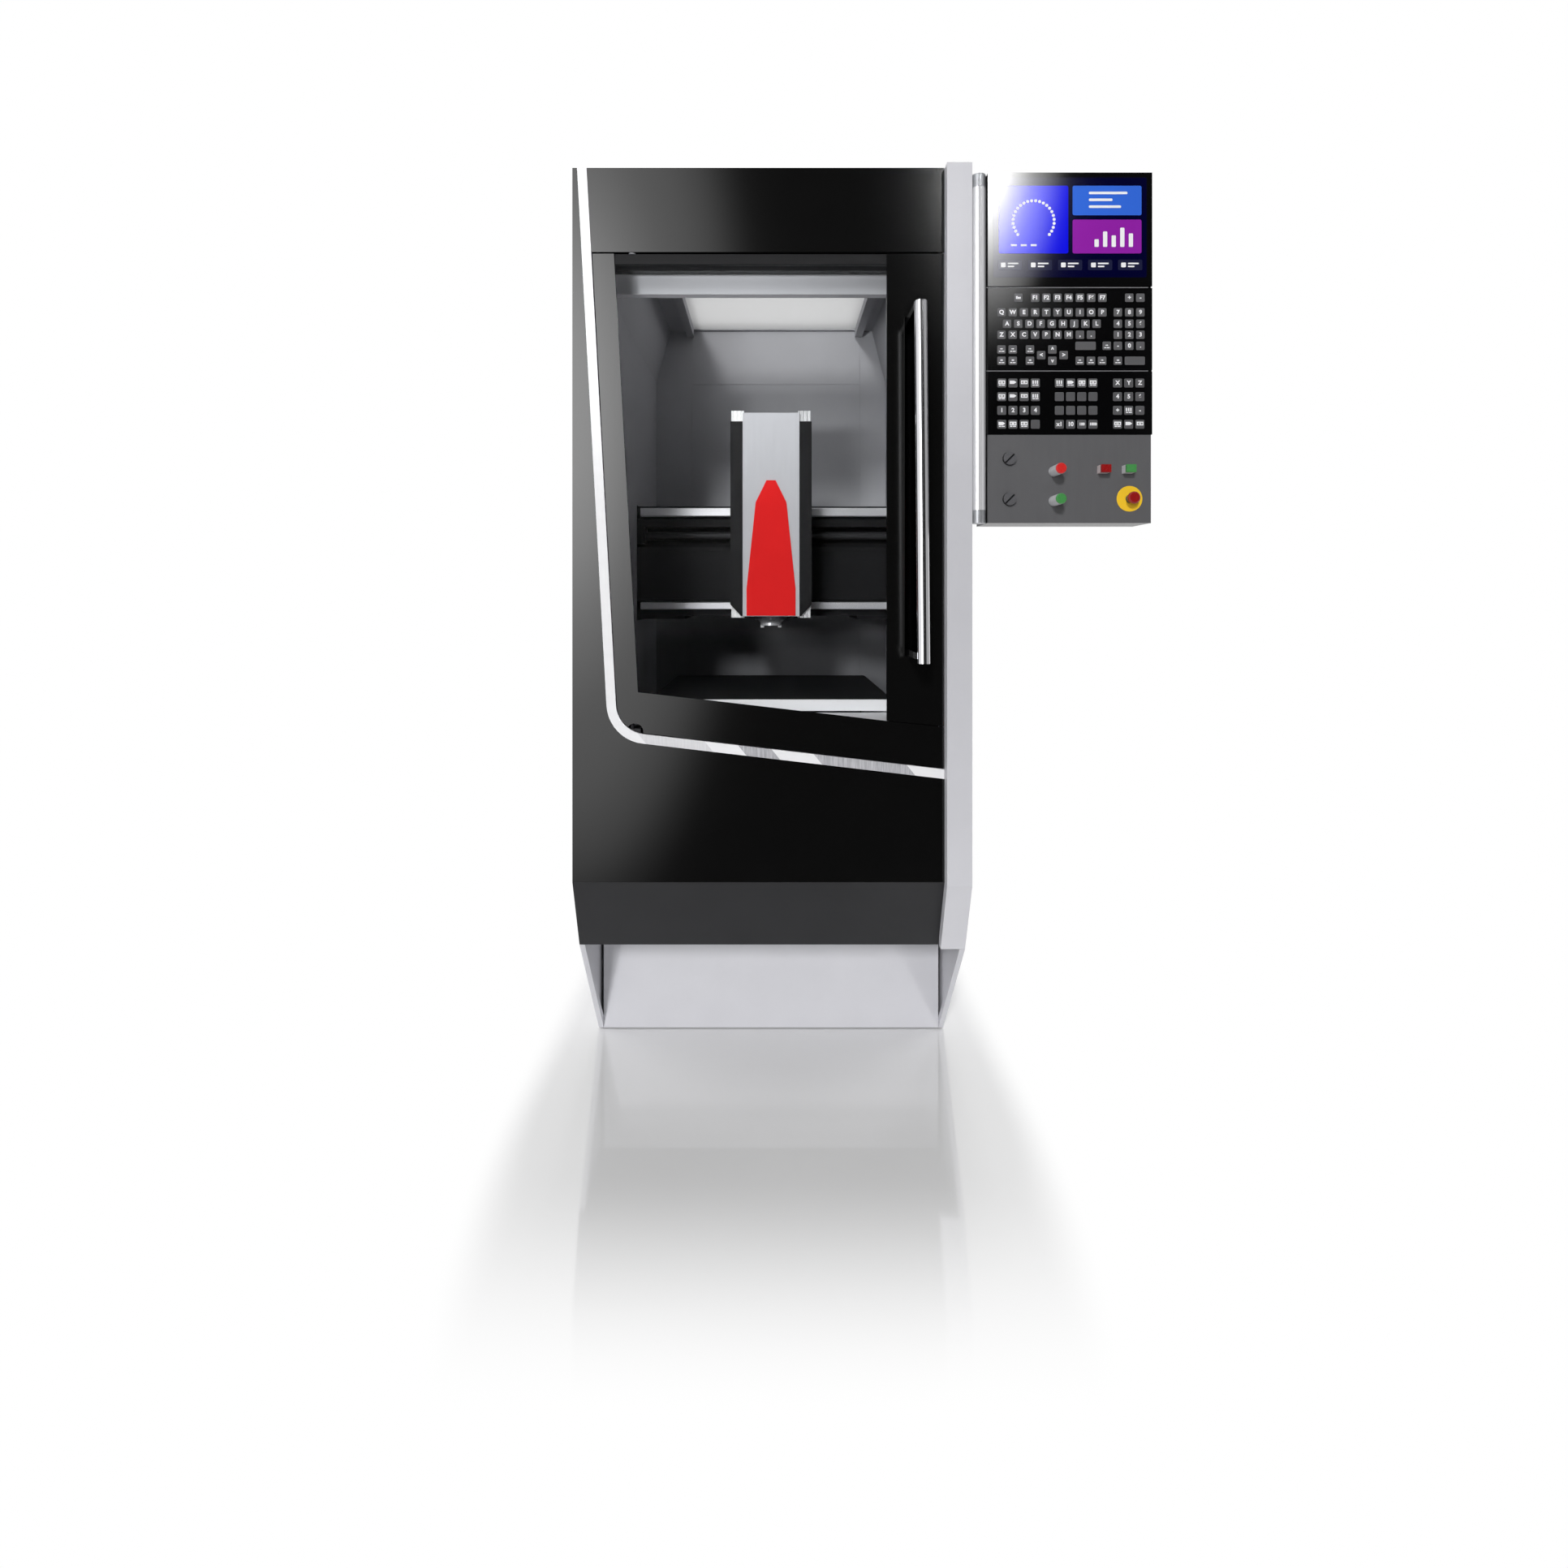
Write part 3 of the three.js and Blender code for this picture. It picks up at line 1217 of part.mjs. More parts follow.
function makeControls() {
  const inside = at(pendantFront + controlDepth);
  const reach = controlDepth;
  const cap = (radius, length) => towardsFront(revolve([
    [0, 0], [radius, 0], [radius, reach + length - buttonBevel],
    [radius - buttonBevel, reach + length], [0, reach + length],
  ]));
  add('stop_button', cap(roundButtonRadius, roundButtonLength), stopRed, roundButtonX, inside, stopButtonZ);
  add(
    'start_button', cap(roundButtonRadius, roundButtonLength), startGreen,
    roundButtonX, inside, startButtonZ,
  );

  const square = () => block(
    -squareButtonWidth / 2, squareButtonWidth / 2, -reach - squareButtonLength, 0,
    -squareButtonHeight / 2, squareButtonHeight / 2,
  );
  add('power_off_button', square(), deepRed, powerOffX, inside, squareButtonZ);
  add('power_on_button', square(), startGreen, powerOnX, inside, squareButtonZ);

  const stem = towardsFront(rod(emergencyStemRadius, reach + emergencyStemProud));
  add('emergency_stop_stem', stem, darkGrey, emergencyX, inside, emergencyZ);
  const head = towardsFront(revolve([
    [0, 0], [emergencyHeadRadius * emergencyRimShare, 0],
    [emergencyHeadRadius, emergencyHeadLength / 3],
    [emergencyHeadRadius, emergencyHeadLength * emergencyCrownShare],
    [emergencyHeadRadius * emergencyRimShare, emergencyHeadLength], [0, emergencyHeadLength],
  ]));
  const headBase = at(pendantFront) - emergencyStemProud - seat;
  add('emergency_stop_head', head, deepRed, emergencyX, headBase, emergencyZ);

  const slot = block(
    -rotaryRadius - cutOverrun, rotaryRadius + cutOverrun,
    -reach - rotaryProud - cutOverrun, -reach - rotaryProud + rotarySlotDepth,
    -rotarySlot / 2, rotarySlot / 2,
  ).rotateY(-Math.PI / 4);
  const rotary = () => shape(towardsFront(rod(rotaryRadius, reach + rotaryProud)), [], [slot]);
  add('rotary_switch_upper', rotary(), panelGrey, rotaryX, inside, rotaryUpperZ);
  add('rotary_switch_lower', rotary(), panelGrey, rotaryX, inside, rotaryLowerZ);
}

// Rear control cabinet: shell, mounting plate with its modules, door and latch
function makeControlCabinet() {
  const inner = halfWidth - foldedEdge - seat;
  const top = cabinetHeight - roofTrayDepth - seat;
  const back = cabinetDepth - seat;
  const shell = block(-inner, inner, at(electricFront), at(back), electricFoot, top);
  const hollow = block(
    electricWall - inner, inner - electricWall, at(electricFront + electricWall), at(back + cutOverrun),
    electricFoot + electricWall, top - electricWall,
  );
  add('control_cabinet', shape(shell, [], [hollow]), lightGrey);

  const plateHalf = inner - plateMargin;
  const plateFoot = electricFoot + plateMargin;
  const plateTop = top - plateMargin;
  const plateFront = electricFront + electricWall + seat;
  const plate = block(
    -plateHalf, plateHalf, at(plateFront + plateStandOff), at(plateFront + plateStandOff + plateThickness),
    plateFoot, plateTop,
  );
  const feet = [-1, 1].flatMap((side) => [plateFoot, plateTop - plateStandOff].map((z) => block(
    side * plateHalf - (side > 0 ? plateStandOff : 0), side * plateHalf + (side > 0 ? 0 : plateStandOff),
    at(plateFront), at(plateFront + plateStandOff + joinLap), z, z + plateStandOff,
  )));
  const modules = [];
  const rowPitch = platePitch * moduleRowShare;
  const moduleHalf = platePitch * moduleHalfShare;
  const rows = Math.floor((plateTop - plateFoot) / rowPitch);
  for (let row = 0; row < rows; row += 1) {
    for (const column of [-1, 0, 1]) {
      const x = column * platePitch;
      const z = plateFoot + plateMargin + row * rowPitch;
      modules.push(block(
        x - moduleHalf, x + moduleHalf,
        at(plateFront + plateStandOff + joinLap), at(plateFront + plateStandOff + moduleDepth),
        z, z + platePitch,
      ));
    }
  }
  add('control_modules', shape(plate, [...feet, ...modules]), panelGrey);

  const doorBack = cabinetDepth + seat + cabinetDoorThickness;
  const door = block(
    -halfWidth, halfWidth, at(cabinetDepth + seat), at(doorBack), cabinetDoorFoot, cabinetHeight - sheet,
  );
  const doorHollow = block(
    foldedEdge - halfWidth, halfWidth - foldedEdge,
    at(cabinetDepth + seat - cutOverrun), at(doorBack - cabinetDoorWall),
    cabinetDoorFoot + foldedEdge, cabinetHeight - sheet - foldedEdge,
  );
  add('cabinet_door', shape(door, [], [doorHollow]), lightGrey);

  const hub = alongY(rod(latchHub, latchThickness / 2));
  const lever = block(
    -latchWidth / 2, latchWidth / 2, latchThickness / 2 - joinLap, latchThickness * leverShare,
    -latchLength, latchWidth / 2,
  );
  add('cabinet_latch', shape(hub, [lever]), darkGrey, latchX, at(doorBack) + seat, latchZ);
}

makePads();
makeBed();
makeSides();
makeColumn();
makeFront();
makeDoor();
makePivots();
makeInnerEnclosure();
makeRoof();
makeTray();
makeTable();
makeBridge();
makeSaddle();
makeHead();
makePendantBracket();
makePendant();
makeControls();
makeControlCabinet();

export default root;
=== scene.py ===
import json
import math

import bmesh
import bpy
from mathutils import Matrix, Vector


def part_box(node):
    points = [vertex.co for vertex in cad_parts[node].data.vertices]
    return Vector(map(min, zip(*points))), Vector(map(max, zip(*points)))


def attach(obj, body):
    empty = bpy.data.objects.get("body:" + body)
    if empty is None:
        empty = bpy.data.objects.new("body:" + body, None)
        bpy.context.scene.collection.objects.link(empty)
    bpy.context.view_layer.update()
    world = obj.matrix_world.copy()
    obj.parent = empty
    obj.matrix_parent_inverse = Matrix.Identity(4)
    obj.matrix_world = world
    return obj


# A compact vertical machining centre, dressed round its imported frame.
# Metres and degrees: X runs to the right, Y to the rear and Z up
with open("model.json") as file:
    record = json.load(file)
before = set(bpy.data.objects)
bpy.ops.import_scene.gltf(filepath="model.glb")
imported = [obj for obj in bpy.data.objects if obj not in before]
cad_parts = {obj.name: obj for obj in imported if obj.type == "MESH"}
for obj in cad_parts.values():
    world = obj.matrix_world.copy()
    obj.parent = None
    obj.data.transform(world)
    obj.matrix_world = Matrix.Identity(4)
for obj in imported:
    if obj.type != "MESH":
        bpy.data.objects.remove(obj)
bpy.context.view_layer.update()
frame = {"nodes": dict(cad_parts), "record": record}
nodes = frame["nodes"]

WHITE = (1, 1, 1, 1)
UPRIGHT = math.radians(90)


# Colours are written in screen values, 0 to 255; the standard sRGB curve turns them into light
def linear(rgb):
    out = []
    for c in rgb:
        c /= 255
        out.append(c / 12.92 if c <= 0.04045 else ((c + 0.055) / 1.055) ** 2.4)
    return (*out, 1.0)


# Settings name or number a node's inputs; each value is a constant, or the socket that feeds the input
def feed(tree, node, settings):
    for key, value in settings.items():
        if isinstance(value, bpy.types.NodeSocket):
            tree.links.new(value, node.inputs[key])
        else:
            node.inputs[key].default_value = value
    return node


def add(tree, kind, settings):
    return feed(tree, tree.nodes.new(kind), settings)


def calc(tree, operation, first, second=None):
    node = tree.nodes.new("ShaderNodeMath")
    node.operation = operation
    feed(tree, node, {0: first} if second is None else {0: first, 1: second})
    return node.outputs[0]


def map_range(tree, value, start, end, low=0.0, high=1.0, smooth=False):
    node = tree.nodes.new("ShaderNodeMapRange")
    node.interpolation_type = "SMOOTHSTEP" if smooth else "LINEAR"
    feed(tree, node, {"Value": value, "From Min": start, "From Max": end, "To Min": low, "To Max": high})
    return node.outputs[0]


# A ramp over stops, each a place from 0 to 1 and a colour; a new ramp has its first two stops already
def ramp_of(tree, value, stops, interpolation="LINEAR"):
    node = add(tree, "ShaderNodeValToRGB", {0: value})
    ramp = node.color_ramp
    ramp.interpolation = interpolation
    for i, (place, colour) in enumerate(stops):
        element = ramp.elements[i] if i < 2 else ramp.elements.new(place)
        element.position = place
        element.color = colour
    return node.outputs[0]


def grey(level):
    return (level, level, level, 1)


def mixed(tree, share, first, second):
    return add(tree, "ShaderNodeMixShader", {0: share, 1: first, 2: second}).outputs[0]


# 1 for a ray of any of the kinds named, else 0
def is_ray(tree, *kinds):
    path = tree.nodes.new("ShaderNodeLightPath")
    outputs = [path.outputs["Is %s Ray" % kind] for kind in kinds]
    found = outputs[0]
    for output in outputs[1:]:
        found = calc(tree, "MAXIMUM", found, output)
    return found


# One coordinate of a point, or of its surface's direction, in the piece's own frame
def along(tree, axis, source="Object"):
    place = tree.nodes.new("ShaderNodeTexCoord")
    split = add(tree, "ShaderNodeSeparateXYZ", {0: place.outputs[source]})
    return split.outputs["XYZ".index(axis)]


# Length of (u, v), neither of them negative
def length_of(tree, u, v):
    return calc(tree, "SQRT", calc(tree, "ADD", calc(tree, "POWER", u, 2.0), calc(tree, "POWER", v, 2.0)))


# Noise lies mostly between these values
NOISE_LOW, NOISE_HIGH = 0.3, 0.7
NOISE_DETAIL = 4


def noise(tree, scale, stretch=(1, 1, 1), turn=0):
    place = tree.nodes.new("ShaderNodeTexCoord")
    fit = add(tree, "ShaderNodeMapping", {
        "Vector": place.outputs["Object"], "Rotation": (0, math.radians(turn), 0), "Scale": stretch})
    tex = add(tree, "ShaderNodeTexNoise", {"Vector": fit.outputs[0], "Scale": scale, "Detail": NOISE_DETAIL})
    return tex.outputs["Fac"]


def spread(tree, value, low, high):
    return map_range(tree, value, NOISE_LOW, NOISE_HIGH, low, high)


def new_tree(name):
    mat = bpy.data.materials.new(name)
    mat.use_nodes = True
    mat.node_tree.nodes.clear()
    return mat, mat.node_tree, mat.node_tree.nodes.new("ShaderNodeOutputMaterial")


def new_material(name):
    mat, tree, out = new_tree(name)
    shader = tree.nodes.new("ShaderNodeBsdfPrincipled")
    tree.links.new(shader.outputs[0], out.inputs[0])
    return mat, tree, shader, out


def shader_of(mat):
    return next(n for n in mat.node_tree.nodes if n.type == "BSDF_PRINCIPLED")


# The colour sockets of Blender's mix node, among those that it keeps for other kinds of value
MIX_SHARE, MIX_UNDER, MIX_OVER, MIX_RESULT = 0, 6, 7, 2


# Lays a second colour over a finish where the mask is 1
def overlay(mat, mask, rgb):
    tree = mat.node_tree
    shader = shader_of(mat)
    under = shader.inputs["Base Color"].links[0].from_socket
    mix = tree.nodes.new("ShaderNodeMix")
    mix.data_type = "RGBA"
    feed(tree, mix, {MIX_SHARE: mask(tree), MIX_UNDER: under, MIX_OVER: linear(rgb)})
    tree.links.new(mix.outputs[MIX_RESULT], shader.inputs["Base Color"])
    return mat


LEAST_ROUGH = 0.02
BUMP_STRENGTH = 0.4


# A finish: colour that varies a little, roughness that varies more, and a fine relief
def finish_of(name, rgb, rough, metal=0.0, vary=0.05, rough_vary=0.06, patch=9.0, grain=900.0,
              relief=0.00002, stretch=(1, 1, 1), specular=0.5):
    mat, tree, shader, _ = new_material(name)
    base = linear(rgb)[:3]
    darker = (*[c * (1 - vary) for c in base], 1)
    paler = (*[min(1, c * (1 + vary)) for c in base], 1)
    fine = noise(tree, grain, stretch)
    bump = add(tree, "ShaderNodeBump", {"Strength": BUMP_STRENGTH, "Distance": relief, "Height": fine})
    feed(tree, shader, {
        "Base Color": ramp_of(tree, noise(tree, patch, stretch), ((NOISE_LOW, darker), (NOISE_HIGH, paler))),
        "Roughness": spread(tree, fine, max(LEAST_ROUGH, rough - rough_vary), rough + rough_vary),
        "Normal": bump.outputs[0], "Metallic": metal, "Specular IOR Level": specular})
    return mat


GLASS_TINT = (0.985, 0.99, 0.99, 1)
GLASS_INDEX = 1.06
GLASS_PATCH, GLASS_ROUGH = 30, (0.0, 0.01)
PASSING_TINT = (0.97, 0.98, 0.98, 1)


# The pane hardly bends light; the lamps' light and soft bounces go straight through, a little dimmed
def clear_glass():
    mat, tree, shader, out = new_material("clear_glass")
    feed(tree, shader, {
        "Base Color": GLASS_TINT, "Transmission Weight": 1.0, "IOR": GLASS_INDEX,
        "Roughness": spread(tree, noise(tree, GLASS_PATCH), *GLASS_ROUGH)})
    passing = add(tree, "ShaderNodeBsdfTransparent", {0: PASSING_TINT})
    both = mixed(tree, is_ray(tree, "Shadow", "Diffuse"), shader.outputs[0], passing.outputs[0])
    tree.links.new(both, out.inputs[0])
    return mat


FROSTED_BODY, FROSTED_GLOW = 0.85, 0.72
FROSTED_GLOW_SHARE = 0.75
FROSTED_GRAIN, FROSTED_ROUGH = 400, (0.5, 0.7)
LAMP_PASS_SHARE = 0.9


# The roof's pane glows from the light above it, and most of the lamps' light goes straight through
def frosted():
    mat, tree, shader, out = new_material("roof_frosted")
    rough = spread(tree, noise(tree, FROSTED_GRAIN), *FROSTED_ROUGH)
    feed(tree, shader, {"Base Color": grey(FROSTED_BODY), "Roughness": rough})
    through = add(tree, "ShaderNodeBsdfTranslucent", {0: grey(FROSTED_GLOW)})
    pane = mixed(tree, FROSTED_GLOW_SHARE, shader.outputs[0], through.outputs[0])
    clear = tree.nodes.new("ShaderNodeBsdfTransparent")
    passing = calc(tree, "MULTIPLY", is_ray(tree, "Shadow"), LAMP_PASS_SHARE)
    tree.links.new(mixed(tree, passing, pane, clear.outputs[0]), out.inputs[0])
    return mat


LIT_ROUGH = 0.09


# A part of the screen, which gives light of its own
def lit(name, rgb, glow):
    mat = finish_of(name, rgb, LIT_ROUGH, rough_vary=0.01, vary=0.03)
    feed(mat.node_tree, shader_of(mat), {"Emission Color": linear(rgb), "Emission Strength": glow})
    return mat


# Ways in which the grain of a drawn, ground or brushed metal runs
GRAIN_UP = (8, 8, 1)
GRAIN_ACROSS = (1, 8, 8)
BRUSHED_UP = (10, 1, 1)
ROLLED_LEVEL = (1, 1, 6)
STRIP_LEVEL = (1, 1, 5)

PALE_GREY = (206, 206, 211)
WALL_GREY = (170, 170, 174)
BAND_GREY = (40, 40, 42)
BRIGHT_STEEL = (222, 222, 225)
RED = (214, 46, 44)
GREEN = (72, 146, 78)
DEEP_RED = (150, 22, 23)
CONTROL_ROUGH = 0.28

# One finish for each material slot of the record, except those whose nodes all have looks of their own
FINISHES = {
    "gloss_black": dict(rgb=(10, 10, 10), rough=0.12, rough_vary=0.015, vary=0.08, grain=300),
    "band_grey": dict(rgb=BAND_GREY, rough=0.45, specular=0.25),
    "cabinet_light": dict(rgb=PALE_GREY, rough=0.5, vary=0.02, grain=1500, relief=0.00004),
    "inner_light": dict(rgb=WALL_GREY, rough=0.6, vary=0.03, specular=0.25),
    "casting_grey": dict(rgb=(60, 61, 64), rough=0.6, vary=0.1, grain=350, relief=0.0002, specular=0.25),
    # The table's top is near black with speckle: a painted reflection of the dark enclosure on its metal
    "table_dark": dict(
        rgb=(26, 26, 27), rough=0.6, vary=0.5, patch=260, grain=1200, relief=0.0001, specular=0.2),
    "dark_cover": dict(rgb=(24, 24, 25), rough=0.5, specular=0.15),
    "steel": dict(rgb=(176, 178, 182), rough=0.38, metal=0.6, stretch=ROLLED_LEVEL),
    "bright_steel": dict(rgb=BRIGHT_STEEL, rough=0.17, metal=1.0, rough_vary=0.03, stretch=GRAIN_UP),
    "guide_aluminium": dict(rgb=(228, 228, 230), rough=0.3, vary=0.02, metal=0.5, stretch=GRAIN_UP),
    "strip_silver": dict(rgb=(243, 243, 245), rough=0.42, vary=0.015, stretch=STRIP_LEVEL),
    "head_silver": dict(rgb=PALE_GREY, rough=0.45, vary=0.02, stretch=BRUSHED_UP, specular=0.3),
    "shield_red": dict(rgb=(246, 42, 43), rough=0.5, vary=0.03, specular=0.12),
    "screen": dict(rgb=(9, 9, 10), rough=0.07, rough_vary=0.01),
    "key_black": dict(rgb=(5, 5, 6), rough=0.14, rough_vary=0.02),
    "pendant_black": dict(rgb=(12, 12, 13), rough=0.25),
    "panel_grey": dict(rgb=(95, 95, 97), rough=0.45, vary=0.03, stretch=BRUSHED_UP),
    "button_deep_red": dict(rgb=DEEP_RED, rough=CONTROL_ROUGH, vary=0.03),
    "switch_grey": dict(rgb=(92, 92, 95), rough=0.4),
}
looks = {name: finish_of(name, **how) for name, how in FINISHES.items()}
looks["clear_glass"] = clear_glass()
looks["roof_frosted"] = frosted()

FACES_FRONT = -0.5
TABLE_EDGE = (252, 252, 254)


# The table's front edge is bare machined metal; the rest keeps the near-black speckled top, a painted
# reflection of the dark enclosure
def front_face(tree):
    return calc(tree, "LESS_THAN", along(tree, "Y", "Normal"), FACES_FRONT)


overlay(looks["table_dark"], front_face, TABLE_EDGE)

# The strip's lower run falls to the right: its slope, its middle line's height at X 0,
# the places in X that its shares lie between, and its top
RUN_SLOPE = 0.117
RUN_MIDDLE = 0.808
RUN_LEFT, RUN_RIGHT = -0.47, 0.41
RUN_TOP = 0.875
# Painted reflection spots lean, and start at these shares of the run with these strengths
SPOT_LEAN = 0.9
SPOT_SHARES = ((0, 0), (0.186, 0.4), (0.366, 0), (0.456, 1), (0.546, 0), (0.66, 0.95), (0.909, 0))
STREAK_GRAIN, STREAK_STRETCH, STREAK_TURN = 420, (1, 1, 0.06), -48
STREAK_LEAST = 0.55
REFLECTION_GREY = (152, 152, 158)


# Darker leaning patches on the strip's lower run: painted reflections on its brushed metal, broken up by
# streaks along the brushing
def reflection_spots(tree):
    x, z = along(tree, "X"), along(tree, "Z")
    level = calc(tree, "ADD", z, calc(tree, "MULTIPLY", x, RUN_SLOPE))
    lean = calc(tree, "MULTIPLY", calc(tree, "SUBTRACT", level, RUN_MIDDLE), SPOT_LEAN)
    share = map_range(tree, calc(tree, "ADD", x, lean), RUN_LEFT, RUN_RIGHT)
    spots = ramp_of(tree, share, [(place, grey(strength)) for place, strength in SPOT_SHARES], "CONSTANT")
    low = calc(tree, "LESS_THAN", z, RUN_TOP)
    streaks = spread(tree, noise(tree, STREAK_GRAIN, STREAK_STRETCH, turn=STREAK_TURN), STREAK_LEAST, 1.0)
    return calc(tree, "MULTIPLY", calc(tree, "MULTIPLY", spots, low), streaks)


overlay(looks["strip_silver"], reflection_spots, REFLECTION_GREY)

# Looks for single nodes that differ from the rest of their slot
OWN_FINISHES = {
    "header_beam": dict(name="beam_light", rgb=PALE_GREY, rough=0.55, vary=0.02, specular=0.25),
    "x_rail_upper": dict(
        name="rail_ground", rgb=(232, 232, 236), rough=0.3, vary=0.03, metal=0.5, stretch=GRAIN_ACROSS),
    "chip_tray": dict(name="tray_sheet", rgb=(236, 236, 240), rough=0.42, vary=0.04, patch=25, specular=0.3),
    "spindle": dict(name="nose_steel", rgb=(226, 226, 229), rough=0.3, metal=0.5, stretch=GRAIN_UP),
    # The left head guide alone is white: a painted highlight of its bright edge
    "head_guide_left": dict(
        name="guide_painted_highlight", rgb=(255, 255, 255), rough=0.3, vary=0.01, metal=0.15, stretch=GRAIN_UP),
    # The ball screw is dark grey: painted shade of the recess it runs in
    "x_ball_screw": dict(
        name="screw_painted_shade", rgb=(52, 52, 54), rough=0.45, metal=0.2, stretch=GRAIN_ACROSS, specular=0.3),
    "inner_back_wall": dict(name="back_light", rgb=WALL_GREY, rough=0.6, vary=0.03, specular=0.25),
    "pendant_tube": dict(
        name="tube_steel", rgb=(240, 240, 243), rough=0.2, metal=0.4, rough_vary=0.02, stretch=GRAIN_UP),
    "door_pivot_lower": dict(name="pivot_dark", rgb=BAND_GREY, rough=0.4, metal=0.5),
    "door_handle": dict(
        name="handle_steel", rgb=BRIGHT_STEEL, rough=0.15, metal=1.0, rough_vary=0.03, stretch=GRAIN_UP),
}
own_looks = {node: finish_of(**how) for node, how in OWN_FINISHES.items()}
own_looks["x_rail_lower"] = own_looks["x_rail_upper"]

# Where the back wall's painted shadow begins and where it is full, and its colour
SHADOW_ZONE_TOP, SHADOW_ZONE_FULL = 1.12, 1.0
PAINTED_SHADOW_GREY = (108, 108, 111)
HANDLE_BASE_FRONT = -0.4262
HANDLE_BASE_BLACK = (16, 16, 17)


# The back wall is painted darker low down: a painted shadow below the bridge, which also mutes a patch that
# the lamps light there
def painted_shadow_zone(tree):
    return map_range(tree, along(tree, "Z"), SHADOW_ZONE_TOP, SHADOW_ZONE_FULL, smooth=True)


# The handle's base, next to the door, is dark
def handle_base(tree):
    return calc(tree, "GREATER_THAN", along(tree, "Y"), HANDLE_BASE_FRONT)


overlay(own_looks["inner_back_wall"], painted_shadow_zone, PAINTED_SHADOW_GREY)
overlay(own_looks["door_handle"], handle_base, HANDLE_BASE_BLACK)


# Push buttons have silver sides behind their caps, and the switches a dark slot and rim
def behind(node, cap, finish, rgb):
    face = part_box(node)[0].y
    return overlay(finish, lambda tree: calc(tree, "GREATER_THAN", along(tree, "Y"), face + cap), rgb)


SWITCH_GREY = (94, 94, 97)
SWITCH_SLOT = (30, 30, 32)
SILVER = (214, 214, 217)
ROSE_SILVER = (214, 200, 201)
ROUND_CAP, SQUARE_CAP, SWITCH_FACE = 0.004, 0.006, 0.0008
CAPS = (
    ("stop_button", RED, ROUND_CAP, SILVER),
    ("start_button", GREEN, ROUND_CAP, SILVER),
    ("power_off_button", DEEP_RED, SQUARE_CAP, ROSE_SILVER),
    ("power_on_button", GREEN, SQUARE_CAP, SILVER),
    ("rotary_switch_upper", SWITCH_GREY, SWITCH_FACE, SWITCH_SLOT),
    ("rotary_switch_lower", SWITCH_GREY, SWITCH_FACE, SWITCH_SLOT),
)
for node, rgb, cap, side in CAPS:
    own_looks[node] = behind(node, cap, finish_of(node, rgb, CONTROL_ROUGH, vary=0.03), side)

for part in frame["record"]["subparts"]:
    node = part["node"]
    look = own_looks[node] if node in own_looks else looks[part["material_slot"]]
    for material_slot in nodes[node].material_slots:
        material_slot.material = look

# Finishes of the pieces that this script adds, and the colour and glow of the screen's parts
ADDED_FINISHES = {
    "key_face": dict(rgb=(90, 90, 92), rough=0.4),
    "key_plain": dict(rgb=(84, 84, 86), rough=0.42),
    "legend": dict(rgb=(250, 250, 252), rough=0.5, vary=0.01),
    "line_grey": dict(rgb=(120, 120, 123), rough=0.4),
    "disc_yellow": dict(rgb=(255, 206, 50), rough=0.38, vary=0.03),
}
LIT_COLOURS = {
    "screen_ground": ((1, 1, 40), 0.2),
    "tile_blue": ((8, 10, 222), 0.15),
    "tile_sky": ((52, 104, 214), 0.12),
    "tile_purple": ((142, 34, 162), 0.12),
    "tile_dark": ((30, 32, 60), 0.1),
}
paints = {name: finish_of(name, **how) for name, how in ADDED_FINISHES.items()}
for name, (rgb, glow) in LIT_COLOURS.items():
    paints[name] = lit(name, rgb, glow)


def in_scene(name, data):
    obj = bpy.data.objects.new(name, data)
    bpy.context.scene.collection.objects.link(obj)
    return obj


def piece_of(name, mesh_builder, mat, body):
    bm = bmesh.new()
    mesh_builder(bm)
    mesh = bpy.data.meshes.new(name)
    bmesh.ops.recalc_face_normals(bm, faces=bm.faces)
    bm.to_mesh(mesh)
    bm.free()
    obj = in_scene(name, mesh)
    mesh.materials.append(mat)
    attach(obj, body)


# Joins each ring of points to the next; closed joins the last ring to the first, else both ends are capped
def skin(bm, rings, closed=False):
    n = len(rings[0])
    pairs = list(zip(rings, rings[1:]))
    if closed:
        pairs.append((rings[-1], rings[0]))
    for a, b in pairs:
        for i in range(n):
            bm.faces.new((a[i], a[(i + 1) % n], b[(i + 1) % n], b[i]))
    if not closed:
        bm.faces.new(rings[-1])
        bm.faces.new(list(reversed(rings[0])))


# How far each ring of a pad grows outward and stands out, as shares of its rise: the edge is crowned
CROWN_SHARES = ((0, 0), (0, 0.6), (-0.5, 1), (-1.6, 1))
CORNERS = ((1, 1, 0), (-1, 1, 90), (-1, -1, 180), (1, -1, 270))
CORNER_POINTS = 4
LEAST_CORNER = 0.0002


# A pad with rounded corners that faces the operator
def pad(bm, x, z, wide, high, back, rise, corner):
    rings = []
    for grow_share, out_share in CROWN_SHARES:
        grow = rise * grow_share
        w, h = wide / 2 + grow, high / 2 + grow
        r = max(LEAST_CORNER, min(corner + grow, w, h))
        ring = []
        for sx, sz, first in CORNERS:
            for k in range(CORNER_POINTS):
                a = math.radians(first + 90 * k / (CORNER_POINTS - 1))
                across = x + sx * (w - r) + r * math.cos(a)
                up = z + sz * (h - r) + r * math.sin(a)
                ring.append(bm.verts.new((across, back - rise * out_share, up)))
        rings.append(ring)
    skin(bm, rings)


LETTER_SIZE = 0.0135
LONG_WORD_SHARE = 0.62
LETTER_DEPTH = 0.0001
BOLD_SHARE = 0.04


